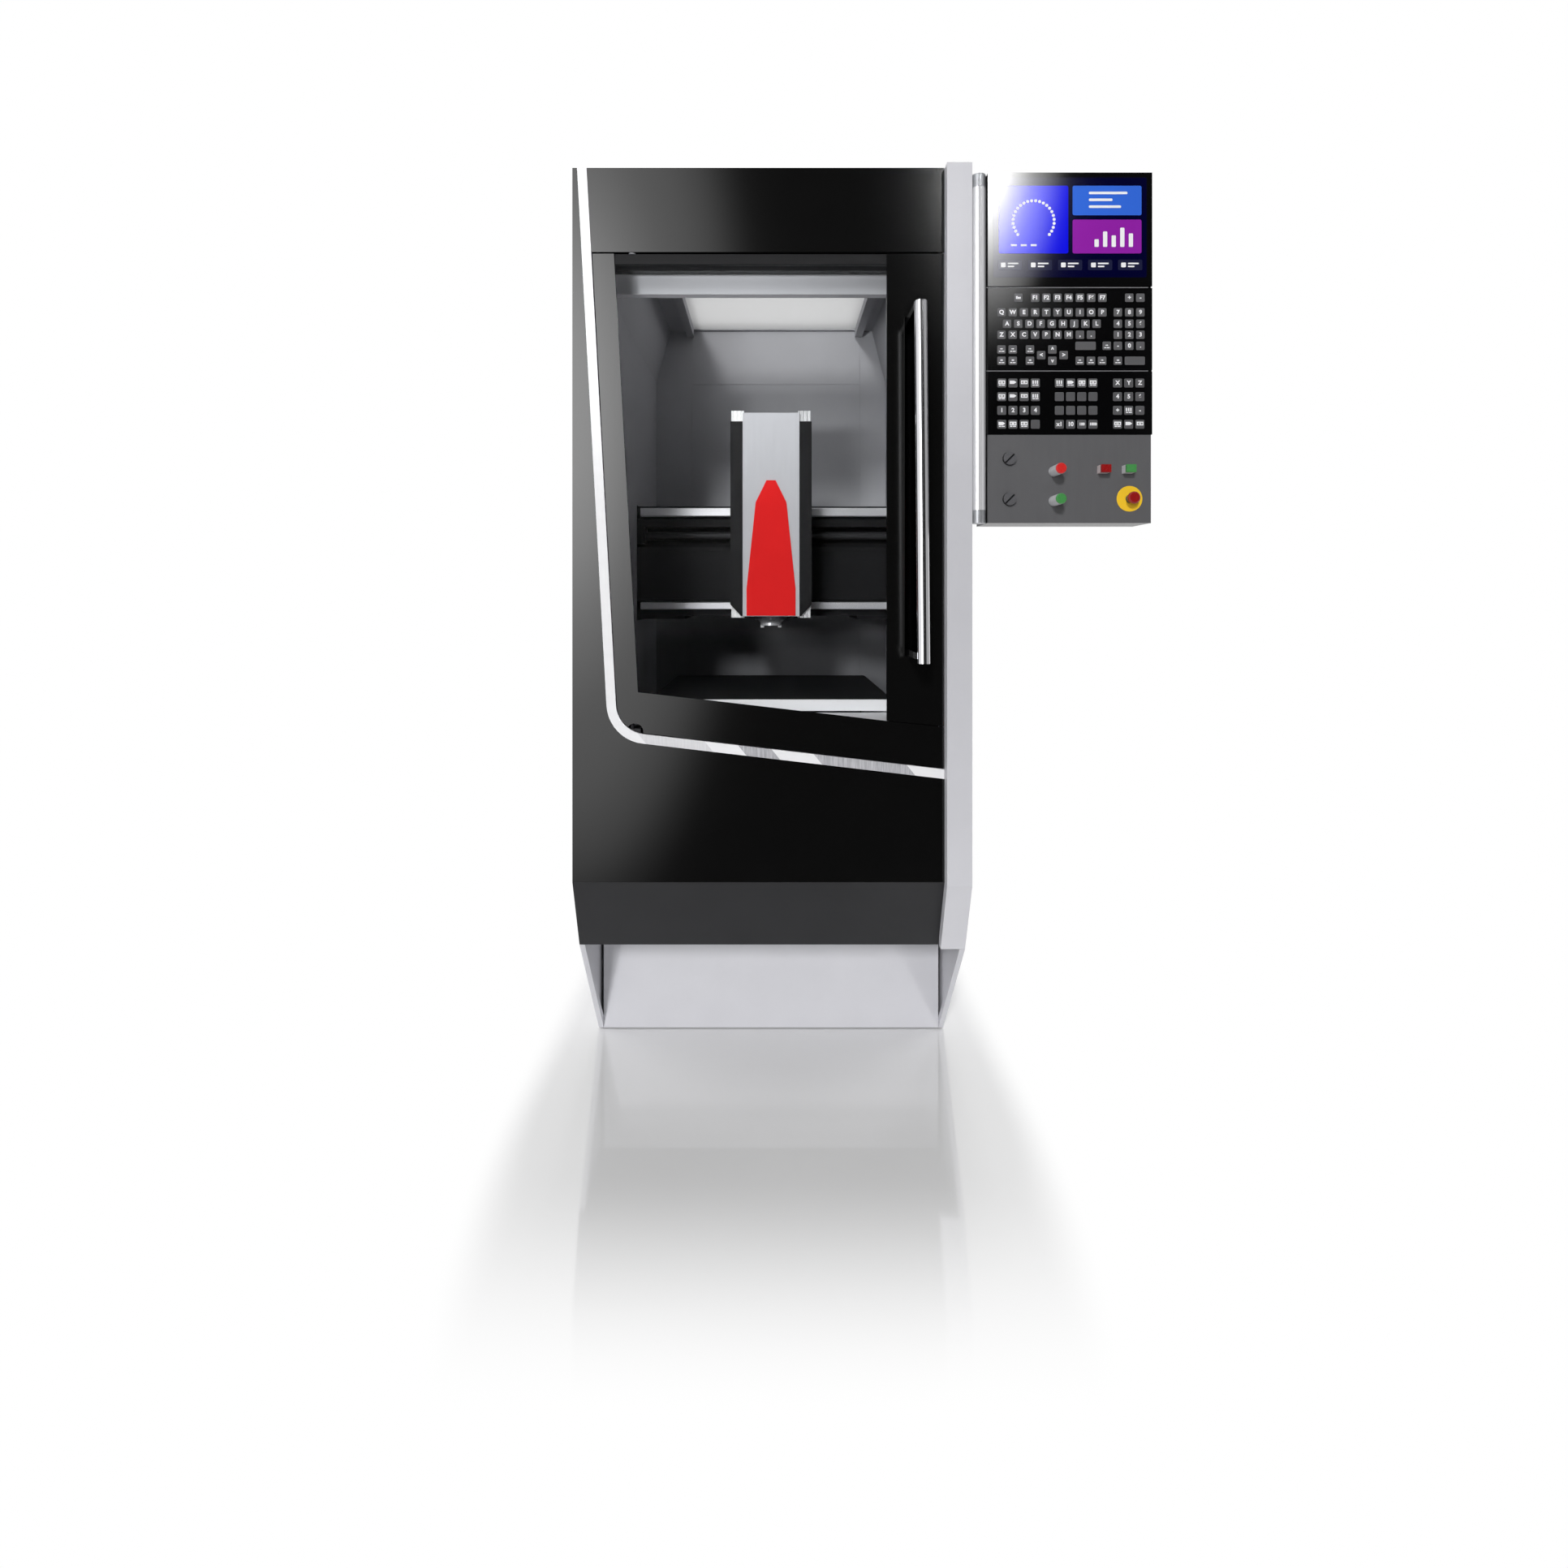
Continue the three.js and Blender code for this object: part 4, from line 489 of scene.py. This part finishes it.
# Small raised words and signs, from Blender's own font; from three letters on a word is set smaller
def letters(name, words, front, mat, body):
    verts, faces = [], []
    for text, x, z in words:
        curve = bpy.data.curves.new(name + "_text", "FONT")
        curve.body = text
        curve.size = LETTER_SIZE if len(text) < 3 else LETTER_SIZE * LONG_WORD_SHARE
        curve.align_x = "CENTER"
        curve.align_y = "CENTER"
        curve.extrude = LETTER_DEPTH
        curve.offset = LETTER_SIZE * BOLD_SHARE
        holder = in_scene(name + "_text", curve)
        bpy.context.view_layer.update()
        drawn = holder.evaluated_get(bpy.context.evaluated_depsgraph_get())
        shape = bpy.data.meshes.new_from_object(drawn)
        start = len(verts)
        verts += [(x + v.co.x, front - LETTER_DEPTH - v.co.z, z + v.co.y) for v in shape.vertices]
        faces += [[start + i for i in p.vertices] for p in shape.polygons]
        bpy.data.objects.remove(holder)
        bpy.data.meshes.remove(shape)
        bpy.data.curves.remove(curve)
    mesh = bpy.data.meshes.new(name)
    mesh.from_pydata(verts, [], faces)
    mesh.materials.append(mat)
    obj = in_scene(name, mesh)
    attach(obj, body)


# The pendant's keys, placed from the left edge and the top of the key panel
panel_low, panel_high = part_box("key_panel")
PANEL = panel_low.y
PITCH = 0.02615
RISE = 0.001
KEY, KEY_CORNER = 0.0195, 0.0024
OPERATOR_KEY, OPERATOR_CORNER = 0.0208, 0.0026
NUMPAD = (0.3033, 0.3299, 0.3558)
FUNCTION_ROW = 0.0231
LETTER_ROWS = (0.0572, 0.0838, 0.1095)
SPACE_ROW = 0.1353
CURSOR_UPPER, CURSOR_MIDDLE, CURSOR_LOWER = 0.1438, 0.1571, 0.1702
ESCAPE_COLUMN, FUNCTION_COLUMN = 0.0706, 0.1102
LETTER_COLUMNS = (0.0316, 0.0445, 0.0316)
PAIR_COLUMNS = (0.0316, 0.0579, 0.0981)
CURSOR_LEFT, CURSOR_COLUMN, CURSOR_RIGHT = 0.1243, 0.1504, 0.1768
FOOT_COLUMNS = (0.2145, 0.2406, 0.2666, NUMPAD[0])
LAST_COLUMN = 0.2774
OPERATOR_ROWS = (0.2221, 0.2539, 0.286, 0.3184)


def keys(words, columns, down):
    return [(word, panel_low.x + column, panel_high.z - down) for word, column in zip(words, columns)]


def run(words, first, down):
    return keys(words, [first + PITCH * i for i in range(len(words))], down)


typed = run(["Esc"], ESCAPE_COLUMN, FUNCTION_ROW)
typed += run(["F%d" % n for n in range(1, 8)], FUNCTION_COLUMN, FUNCTION_ROW)
typed += keys("+-", NUMPAD[1:], FUNCTION_ROW)
for word, first, down in zip(("QWERTYUIOP", "ASDFGHJKL", "ZXCVBNM,."), LETTER_COLUMNS, LETTER_ROWS):
    typed += run(word, first, down)
for trio, down in zip(("789", "456", "123", "-0."), (*LETTER_ROWS, SPACE_ROW)):
    typed += keys(trio, NUMPAD, down)
for column in PAIR_COLUMNS:
    typed += keys([""], [column], CURSOR_UPPER) + keys([""], [column], CURSOR_LOWER)
typed += keys("<", [CURSOR_LEFT], CURSOR_MIDDLE) + keys("^", [CURSOR_COLUMN], CURSOR_UPPER)
typed += keys("v", [CURSOR_COLUMN], CURSOR_LOWER) + keys(">", [CURSOR_RIGHT], CURSOR_MIDDLE)
typed += keys([""] * len(FOOT_COLUMNS), FOOT_COLUMNS, CURSOR_LOWER) + keys([""], [LAST_COLUMN], SPACE_ROW)
# Each wide key's column, row and width
WIDE_KEYS = ((0.2279, SPACE_ROW, 0.0474), (0.3429, CURSOR_LOWER, 0.0468))

# Blocks of operator keys, each a column and four rows of marks: * is a key with a picture, a space
# a plain key, x one of the step sizes, and any other mark is the key's own sign
OPERATOR_BLOCKS = (
    (0.0322, ("****", "****", "1234", "*** ")),
    (0.1667, ("****", "    ", "    ", "xxxx")),
    (0.3024, ("XYZ", "456", "+*-", "***")),
)
STEP_SIZES = ("x1", "10", "100", "1000")


def word_on(mark, place):
    if mark == "x":
        return STEP_SIZES[place]
    return "" if mark in "* " else mark


operator = []
pictured = []
for row, down in enumerate(OPERATOR_ROWS):
    for first, rows in OPERATOR_BLOCKS:
        words = [word_on(mark, place) for place, mark in enumerate(rows[row])]
        block_row = run(words, first, down)
        operator += block_row
        pictured += [key for key, mark in zip(block_row, rows[row]) if mark == "*"]


def typing_keys(bm):
    for _, x, z in typed:
        pad(bm, x, z, KEY, KEY, PANEL, RISE, KEY_CORNER)
    for column, down, wide in WIDE_KEYS:
        pad(bm, panel_low.x + column, panel_high.z - down, wide, KEY, PANEL, RISE, KEY_CORNER)


def operator_keys(bm):
    for _, x, z in operator:
        pad(bm, x, z, OPERATOR_KEY, OPERATOR_KEY, PANEL, RISE, OPERATOR_CORNER)


def box_shape(x0, x1, z0, z1):
    return [(x0, z0), (x1, z0), (x1, z1), (x0, z1)]


# Plain pictograms: framed arrows, blocks, tags and bars, each drawn from flat shapes
# on a square from -1 to 1
RING = [
    box_shape(-1, 1, 0.45, 0.75), box_shape(-1, 1, -0.35, -0.1),
    box_shape(-1, -0.7, -0.1, 0.45), box_shape(0.7, 1, -0.1, 0.45),
]
ARROW = [box_shape(-0.5, 0, 0.05, 0.3), [(0, -0.1), (0.5, 0.17), (0, 0.44)]]
BLOCK = [box_shape(-0.4, 0.4, -0.05, 0.4)]
WORD = [box_shape(-0.9, -0.2, -0.8, -0.5), box_shape(-0.05, 0.9, -0.8, -0.5)]
POINT = [[(-1, -0.3), (0.3, -0.3), (1, 0.2), (0.3, 0.7), (-1, 0.7)]]
BARS = [box_shape(start, start + 0.4, -0.3, 0.75) for start in (-0.9, -0.25, 0.4)]
PICTURES = (RING + ARROW + WORD, RING + BLOCK + WORD, POINT + WORD, BARS + WORD, RING + ARROW, POINT)
PICTURE_STEP, PICTURE_GROUP = 5, 4
TYPING_PICTURES = (ARROW + WORD, BLOCK + WORD)
OPERATOR_SIGN_HALF, TYPING_SIGN_HALF = 0.0078, 0.007
SIGN_RISE = 0.0002


def draw(bm, shapes, x, z, half):
    back = PANEL - RISE
    for shape in shapes:
        rings = []
        for y in (back, back - SIGN_RISE):
            rings.append([bm.verts.new((x + u * half, y, z + v * half)) for u, v in shape])
        skin(bm, rings)


# Pictures change from key to key, and shift by one after each group
def operator_signs(bm):
    for i, (_, x, z) in enumerate(pictured):
        picture = PICTURES[(i * PICTURE_STEP + i // PICTURE_GROUP) % len(PICTURES)]
        draw(bm, picture, x, z, OPERATOR_SIGN_HALF)


def typing_signs(bm):
    for i, (word, x, z) in enumerate(typed):
        if not word:
            draw(bm, TYPING_PICTURES[i % 2], x, z, TYPING_SIGN_HALF)


LINE_MIDDLE, LINE_LENGTH, LINE_WIDTH = 0.1851, 0.378, 0.0022
LINE_DROPS = (-0.0008, 0.194)
LINE_RISE, LINE_CORNER = 0.0006, 0.0005


# Fine pale lines above the key panel and between its two groups of keys
def panel_lines(bm):
    x = panel_low.x + LINE_MIDDLE
    for down in LINE_DROPS:
        pad(bm, x, panel_high.z - down, LINE_LENGTH, LINE_WIDTH, PANEL, LINE_RISE, LINE_CORNER)


piece_of("panel_lines", panel_lines, paints["line_grey"], "pendant")
piece_of("typing_keys", typing_keys, paints["key_face"], "pendant")
piece_of("operator_keys", operator_keys, paints["key_plain"], "pendant")
piece_of("operator_signs", operator_signs, paints["legend"], "pendant")
piece_of("typing_signs", typing_signs, paints["legend"], "pendant")
letters("typing_legends", [key for key in typed if key[0]], PANEL - RISE, paints["legend"], "pendant")
letters("operator_legends", [key for key in operator if key[0]], PANEL - RISE, paints["legend"], "pendant")

# The screen's generic design: one large tile, two beside it and a row of small ones.
# Its parts are placed from the left edge and the foot of the display panel
glass_low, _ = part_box("display_panel")
GLASS = glass_low.y
GROUND_RISE, TILE_RISE, MARK_RISE = 0.0002, 0.0004, 0.0003
TILE_CORNER, SMALL_TILE_CORNER = 0.004, 0.003
MARK_CORNER, LINE_MARK_CORNER = 0.002, 0.001
SMALL_COUNT, SMALL_FIRST, SMALL_PITCH, SMALL_ROW = 5, 0.0516, 0.0702, 0.0495
SMALL_TILE = (0.056, 0.024)
GROUND = (0.1916, 0.137, 0.358, 0.233)


# A plate on the glass
def plate(bm, right, up, wide, high, rise, corner):
    pad(bm, glass_low.x + right, glass_low.z + up, wide, high, GLASS, rise, corner)


# A mark on a tile
def mark_on(bm, right, up, wide, high, corner):
    pad(bm, glass_low.x + right, glass_low.z + up, wide, high, GLASS - TILE_RISE, MARK_RISE, corner)


def tile(x0, x1, z0, z1):
    return lambda bm: plate(bm, (x0 + x1) / 2, (z0 + z1) / 2, x1 - x0, z1 - z0, TILE_RISE, TILE_CORNER)


def small_tiles(bm):
    for i in range(SMALL_COUNT):
        plate(bm, SMALL_FIRST + SMALL_PITCH * i, SMALL_ROW, *SMALL_TILE, TILE_RISE, SMALL_TILE_CORNER)


def ground(bm):
    plate(bm, *GROUND, GROUND_RISE, TILE_CORNER)


# Lines of text as bars on the upper tile, and a bar chart on the lower one
TEXT_SHARES = (0.9, 0.55, 0.75)
TEXT_LEFT, TEXT_TOP, TEXT_LENGTH, TEXT_PITCH, TEXT_HIGH = 0.2356, 0.2175, 0.1, 0.016, 0.006
CHART_SHARES = (0.4, 0.8, 0.6, 1.0, 0.7)
CHART_LEFT, CHART_FOOT, CHART_TALL, CHART_PITCH, CHART_WIDE = 0.2536, 0.0915, 0.045, 0.02, 0.01


def bars(bm):
    for i, share in enumerate(TEXT_SHARES):
        length = TEXT_LENGTH * share
        mark_on(bm, TEXT_LEFT + length / 2, TEXT_TOP - TEXT_PITCH * i, length, TEXT_HIGH, MARK_CORNER)
    for i, share in enumerate(CHART_SHARES):
        tall = CHART_TALL * share
        mark_on(bm, CHART_LEFT + CHART_PITCH * i, CHART_FOOT + tall / 2, CHART_WIDE, tall, MARK_CORNER)


# A gauge of dots on the large tile
GAUGE_X, GAUGE_Z, GAUGE_RADIUS = 0.1066, 0.1515, 0.048
GAUGE_START, GAUGE_SWEEP = -40, 260
GAUGE_DOTS, GAUGE_DOT, GAUGE_DOT_CORNER = 24, 0.007, 0.003


def gauge(bm):
    for k in range(GAUGE_DOTS):
        a = math.radians(GAUGE_START + GAUGE_SWEEP * k / (GAUGE_DOTS - 1))
        x, z = GAUGE_X + GAUGE_RADIUS * math.cos(a), GAUGE_Z + GAUGE_RADIUS * math.sin(a)
        mark_on(bm, x, z, GAUGE_DOT, GAUGE_DOT, GAUGE_DOT_CORNER)


# A small tile holds a square and two lines; the large one has three dashes at its foot
ICON_SQUARE = (-0.016, 0, 0.011, 0.011, MARK_CORNER)
ICON_LINES = (
    (0.007, 0.0035, 0.025, 0.0035, LINE_MARK_CORNER),
    (0.002, -0.0035, 0.015, 0.0035, LINE_MARK_CORNER),
)
DASH_COUNT, DASH_FIRST, DASH_ROW, DASH_PITCH = 3, 0.0606, 0.0955, 0.023
DASH_LENGTH, DASH_HIGH = 0.014, 0.0045


def icons(bm):
    for i in range(SMALL_COUNT):
        for right, up, wide, high, corner in (ICON_SQUARE, *ICON_LINES):
            mark_on(bm, SMALL_FIRST + SMALL_PITCH * i + right, SMALL_ROW + up, wide, high, corner)
    for i in range(DASH_COUNT):
        mark_on(bm, DASH_FIRST + DASH_PITCH * i, DASH_ROW, DASH_LENGTH, DASH_HIGH, LINE_MARK_CORNER)


# Edges of the tiles: the large one is as high as the upper and the lower one with the gap between them
LARGE_LEFT, LARGE_RIGHT = 0.0256, 0.1876
PAIR_LEFT, PAIR_RIGHT = 0.1976, 0.3586
TILES_FOOT, LOWER_TOP, UPPER_FOOT, TILES_TOP = 0.0765, 0.1555, 0.1655, 0.2345
large_tile = tile(LARGE_LEFT, LARGE_RIGHT, TILES_FOOT, TILES_TOP)
upper_tile = tile(PAIR_LEFT, PAIR_RIGHT, UPPER_FOOT, TILES_TOP)
lower_tile = tile(PAIR_LEFT, PAIR_RIGHT, TILES_FOOT, LOWER_TOP)

piece_of("screen_ground", ground, paints["screen_ground"], "pendant")
piece_of("screen_icons", icons, paints["legend"], "pendant")
piece_of("screen_tile_large", large_tile, paints["tile_blue"], "pendant")
piece_of("screen_tile_upper", upper_tile, paints["tile_sky"], "pendant")
piece_of("screen_tile_lower", lower_tile, paints["tile_purple"], "pendant")
piece_of("screen_tiles_small", small_tiles, paints["tile_dark"], "pendant")
piece_of("screen_bars", bars, paints["legend"], "pendant")
piece_of("screen_gauge", gauge, paints["legend"], "pendant")

# The disc's middle is that of the emergency stop; its hole leaves room for the stem
DISC_X, DISC_Z = 0.8378, 1.4084
DISC_RADIUS, DISC_HOLE, DISC_THICK = 0.03, 0.0098, 0.0016
DISC_CHAMFER_WIDE, DISC_CHAMFER_DEEP = 0.0008, 0.0006
DISC_POINTS = 64


# The disc behind the emergency stop, with a chamfered rim
def disc(bm):
    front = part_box("control_panel")[0].y
    profile = (
        (DISC_RADIUS, 0), (DISC_RADIUS, DISC_THICK - DISC_CHAMFER_DEEP),
        (DISC_RADIUS - DISC_CHAMFER_WIDE, DISC_THICK), (DISC_HOLE, DISC_THICK), (DISC_HOLE, 0),
    )
    turns = [math.tau * k / DISC_POINTS for k in range(DISC_POINTS)]
    rings = []
    for r, out in profile:
        rings.append([
            bm.verts.new((DISC_X + r * math.cos(a), front - out, DISC_Z + r * math.sin(a))) for a in turns])
    skin(bm, rings, closed=True)


piece_of("emergency_disc", disc, paints["disc_yellow"], "pendant")


# Floor, backdrop and light
def stage_plane(name, wide, deep, mat):
    bm = bmesh.new()
    bmesh.ops.create_grid(bm, x_segments=2, y_segments=2, size=0.5)
    bmesh.ops.scale(bm, vec=(wide, deep, 1), verts=bm.verts)
    mesh = bpy.data.meshes.new(name)
    bm.to_mesh(mesh)
    bm.free()
    mesh.materials.append(mat)
    obj = in_scene(name, mesh)
    return obj


# The floor keeps its looks up to these edges round the machine; each rate says how fast they fade beyond
FLOOR_SIDE, SIDE_RATE = 0.47, 2.0
FLOOR_REAR, REAR_RATE = 0.93, 1.5
FLOOR_AHEAD, AHEAD_RATE = -0.35, 0.45
FADE_START, FADE_END = 0.1, 0.3
FLOOR_TINT = 0.93
FLOOR_GRAIN, FLOOR_ROUGH = 60, (0.5, 0.6)
SHINE_ROUGH, SHINE_SHARE = 0.06, 0.25


# Pale floor: it keeps the shadow and a faint reflection near the cabinet and turns white further out
def floor_look():
    mat, tree, shader, out = new_material("floor")
    rough = spread(tree, noise(tree, FLOOR_GRAIN), *FLOOR_ROUGH)
    feed(tree, shader, {"Base Color": grey(FLOOR_TINT), "Roughness": rough})
    x, y = along(tree, "X"), along(tree, "Y")
    beside = calc(tree, "SUBTRACT", calc(tree, "ABSOLUTE", x), FLOOR_SIDE)
    side = calc(tree, "MAXIMUM", calc(tree, "MULTIPLY", beside, SIDE_RATE), 0.0)
    rear = calc(tree, "MULTIPLY", calc(tree, "SUBTRACT", y, FLOOR_REAR), REAR_RATE)
    ahead = calc(tree, "MULTIPLY", calc(tree, "SUBTRACT", FLOOR_AHEAD, y), AHEAD_RATE)
    depth = calc(tree, "MAXIMUM", calc(tree, "MAXIMUM", rear, ahead), 0.0)
    fade = map_range(tree, length_of(tree, side, depth), FADE_START, FADE_END, smooth=True)
    seen = calc(tree, "MULTIPLY", is_ray(tree, "Camera", "Transmission"), fade)
    mirror = add(tree, "ShaderNodeBsdfGlossy", {"Roughness": SHINE_ROUGH})
    wet = mixed(tree, SHINE_SHARE, shader.outputs[0], mirror.outputs[0])
    white = add(tree, "ShaderNodeEmission", {"Color": WHITE})
    tree.links.new(mixed(tree, seen, wet, white.outputs[0]), out.inputs[0])
    return mat


# The floor ends before the camera, so that the glossy front doesn't mirror it
FLOOR_WIDE, FLOOR_FRONT, FLOOR_BACK = 16, -1.25, 8.0
floor = stage_plane("floor", FLOOR_WIDE, FLOOR_BACK - FLOOR_FRONT, floor_look())
floor.data.transform(Matrix.Translation((0, (FLOOR_FRONT + FLOOR_BACK) / 2, 0)))


# Cards that only reflections see: the dark studio before the machine, and its soft boxes
def card(name, wide, high, place, turn, look):
    sheet = stage_plane(name, wide, high, look)
    sheet.location = place
    sheet.rotation_euler = (UPRIGHT, 0, math.radians(turn))
    sheet.visible_camera = False
    sheet.visible_diffuse = False
    sheet.visible_shadow = False
    sheet.visible_volume_scatter = False


# Radii that a card's ramp covers, and the paler zone towards a card's right edge
RAMP_RADII = 1.2
PALE_START, PALE_END, PALE_LEVEL = 1.6, 3.4, 0.22


# Soft glow round a centre on the card: stops give its strength at distances counted in radii
def glow_look(name, centre, radii, peak, least, stops):
    mat, tree, out = new_tree(name)
    x, z = along(tree, "X"), along(tree, "Y")
    u = calc(tree, "DIVIDE", calc(tree, "SUBTRACT", x, centre[0]), radii[0])
    v = calc(tree, "DIVIDE", calc(tree, "SUBTRACT", z, centre[1]), radii[1])
    reach = length_of(tree, calc(tree, "ABSOLUTE", u), calc(tree, "ABSOLUTE", v))
    levels = [(place / RAMP_RADII, grey(level)) for place, level in stops]
    ramp = ramp_of(tree, calc(tree, "DIVIDE", reach, RAMP_RADII), levels)
    strength = calc(tree, "ADD", calc(tree, "MULTIPLY", ramp, peak), least)
    pale = map_range(tree, x, PALE_START, PALE_END, 0.0, PALE_LEVEL, smooth=True)
    shine = add(tree, "ShaderNodeEmission", {"Color": WHITE, "Strength": calc(tree, "ADD", strength, pale)})
    # Only rays that a glossy surface has turned see it
    path = tree.nodes.new("ShaderNodeLightPath")
    turned = calc(tree, "GREATER_THAN", path.outputs["Glossy Depth"], 0.5)
    unseen = tree.nodes.new("ShaderNodeBsdfTransparent")
    tree.links.new(mixed(tree, turned, unseen.outputs[0], shine.outputs[0]), out.inputs[0])
    return mat


SOFT_BOX = (
    (0, 1), (0.15, 0.99), (0.3, 0.82), (0.48, 0.507), (0.65, 0.31),
    (0.8, 0.268), (0.95, 0.169), (1.05, 0.056), (1.15, 0),
)
FADING = ((0, 1), (0.2, 0.55), (0.45, 0.14), (0.7, 0.04), (1.0, 0))
DARK = ((0, 0), (1, 0))
# Each card's name, width, height, place and turn, then its glow's centre, radii, peak, least level and stops
CARDS = (
    ("card_front", 8.4, 16, (1.0, -4.6, 2.0), 0, (-2.75, 0.76), (1.445, 3.964), 7.1, 0.03, SOFT_BOX),
    ("card_screen", 1.5, 4.2, (2.4, -4.55, 3.7), 0, (-0.85, 1.2), (0.85, 1.7), 190, 0.02, FADING),
    ("card_right", 7, 10, (5.2, -1.6, 2.0), 90, (0, 0), (1, 1), 0, 0.45, DARK),
)
for name, wide, high, place, turn, *glow in CARDS:
    card(name, wide, high, place, turn, glow_look(name, *glow))

# The room is white where it is seen and darker as a light
ROOM_LIGHT = 0.38
world = bpy.data.worlds.new("studio")
bpy.context.scene.world = world
world.use_nodes = True
sky = world.node_tree
sky.nodes.clear()
lighting = add(sky, "ShaderNodeBackground", {"Color": WHITE, "Strength": ROOM_LIGHT})
seen_sky = add(sky, "ShaderNodeBackground", {"Color": WHITE, "Strength": 1.0})
looking = is_ray(sky, "Camera", "Glossy", "Transmission")
add(sky, "ShaderNodeOutputWorld", {0: mixed(sky, looking, lighting.outputs[0], seen_sky.outputs[0])})


def lamp(name, place, target, wide, high, radiance, spread_angle):
    data = bpy.data.lights.new(name, "AREA")
    data.shape = "RECTANGLE"
    data.size, data.size_y = wide, high
    data.energy = radiance * math.pi * wide * high
    data.spread = math.radians(spread_angle)
    obj = in_scene(name, data)
    obj.location = place
    obj.rotation_euler = (Vector(target) - Vector(place)).to_track_quat("-Z", "Y").to_euler()
    obj.visible_glossy = False


# Each lamp's name, place, target, width, height, radiance and spread
OPEN = 180
LAMPS = (
    ("key", (-2.04, -9.2, 5.5), (0, 0.3, 1.7), 1.1, 1.5, 100, OPEN),
    ("side_front", (-3.3, -9.2, 2.6), (0, 0.3, 1.7), 1.0, 1.4, 38, OPEN),
    ("low_right", (3.4, -4.6, 0.2), (0, -0.1, 0.15), 1.2, 0.4, 0.55, 20),
    ("window_light", (-0.75, -2.35, 1.35), (-0.05, -0.2, 2.02), 0.5, 0.15, 4.5, 32),
    ("left", (-4.2, 0.6, 2.0), (0, 0.3, 1.0), 2.4, 2.4, 3.4, OPEN),
    ("right", (4.4, 0.9, 2.4), (0, 0.3, 1.1), 2.4, 2.4, 3.2, OPEN),
    ("rear", (0.4, 5.2, 2.6), (0, 0.9, 1.1), 3.0, 2.4, 1.4, OPEN),
    ("rear_high", (0.4, 4.4, 4.6), (0, 0.5, 2.0), 3.0, 2.4, 3.8, OPEN),
)
for settings in LAMPS:
    lamp(*settings)

# A dark cloth behind the front lamps keeps the pale room's light out of the machine
CLOTH_TINT = 0.02
CLOTH_WIDE, CLOTH_HIGH = 20, 16
CLOTH_PLACE = (0, -9.8, 6.0)
flag_look, _, flag_shader, _ = new_material("flag")
flag_shader.inputs["Base Color"].default_value = grey(CLOTH_TINT)
flag = stage_plane("flag", CLOTH_WIDE, CLOTH_HIGH, flag_look)
flag.location = CLOTH_PLACE
flag.rotation_euler = (UPRIGHT, 0, 0)
flag.visible_camera = False
flag.visible_glossy = False
flag.visible_transmission = False

# The photograph's view, level: pixel values are those of the photograph, and EYE is its vanishing point
FOCAL_PX = 885.5
PICTURE_PX = 1932
EYE_PX = (950, 735)
EYE_AHEAD, EYE_HEIGHT = -2.05, 1.18
SENSOR_MM = 36
NEAREST, FURTHEST = 0.05, 200
camera_data = bpy.data.cameras.new("camera")
camera = in_scene("camera", camera_data)
camera.location = (0, EYE_AHEAD, EYE_HEIGHT)
camera.rotation_euler = (UPRIGHT, 0, 0)
camera_data.sensor_width = SENSOR_MM
camera_data.lens = SENSOR_MM * FOCAL_PX / PICTURE_PX
camera_data.shift_x = (PICTURE_PX / 2 - EYE_PX[0]) / PICTURE_PX
camera_data.shift_y = (EYE_PX[1] - PICTURE_PX / 2) / PICTURE_PX
camera_data.clip_start = NEAREST
camera_data.clip_end = FURTHEST
bpy.context.scene.camera = camera
bpy.context.scene.view_settings.view_transform = "Standard"
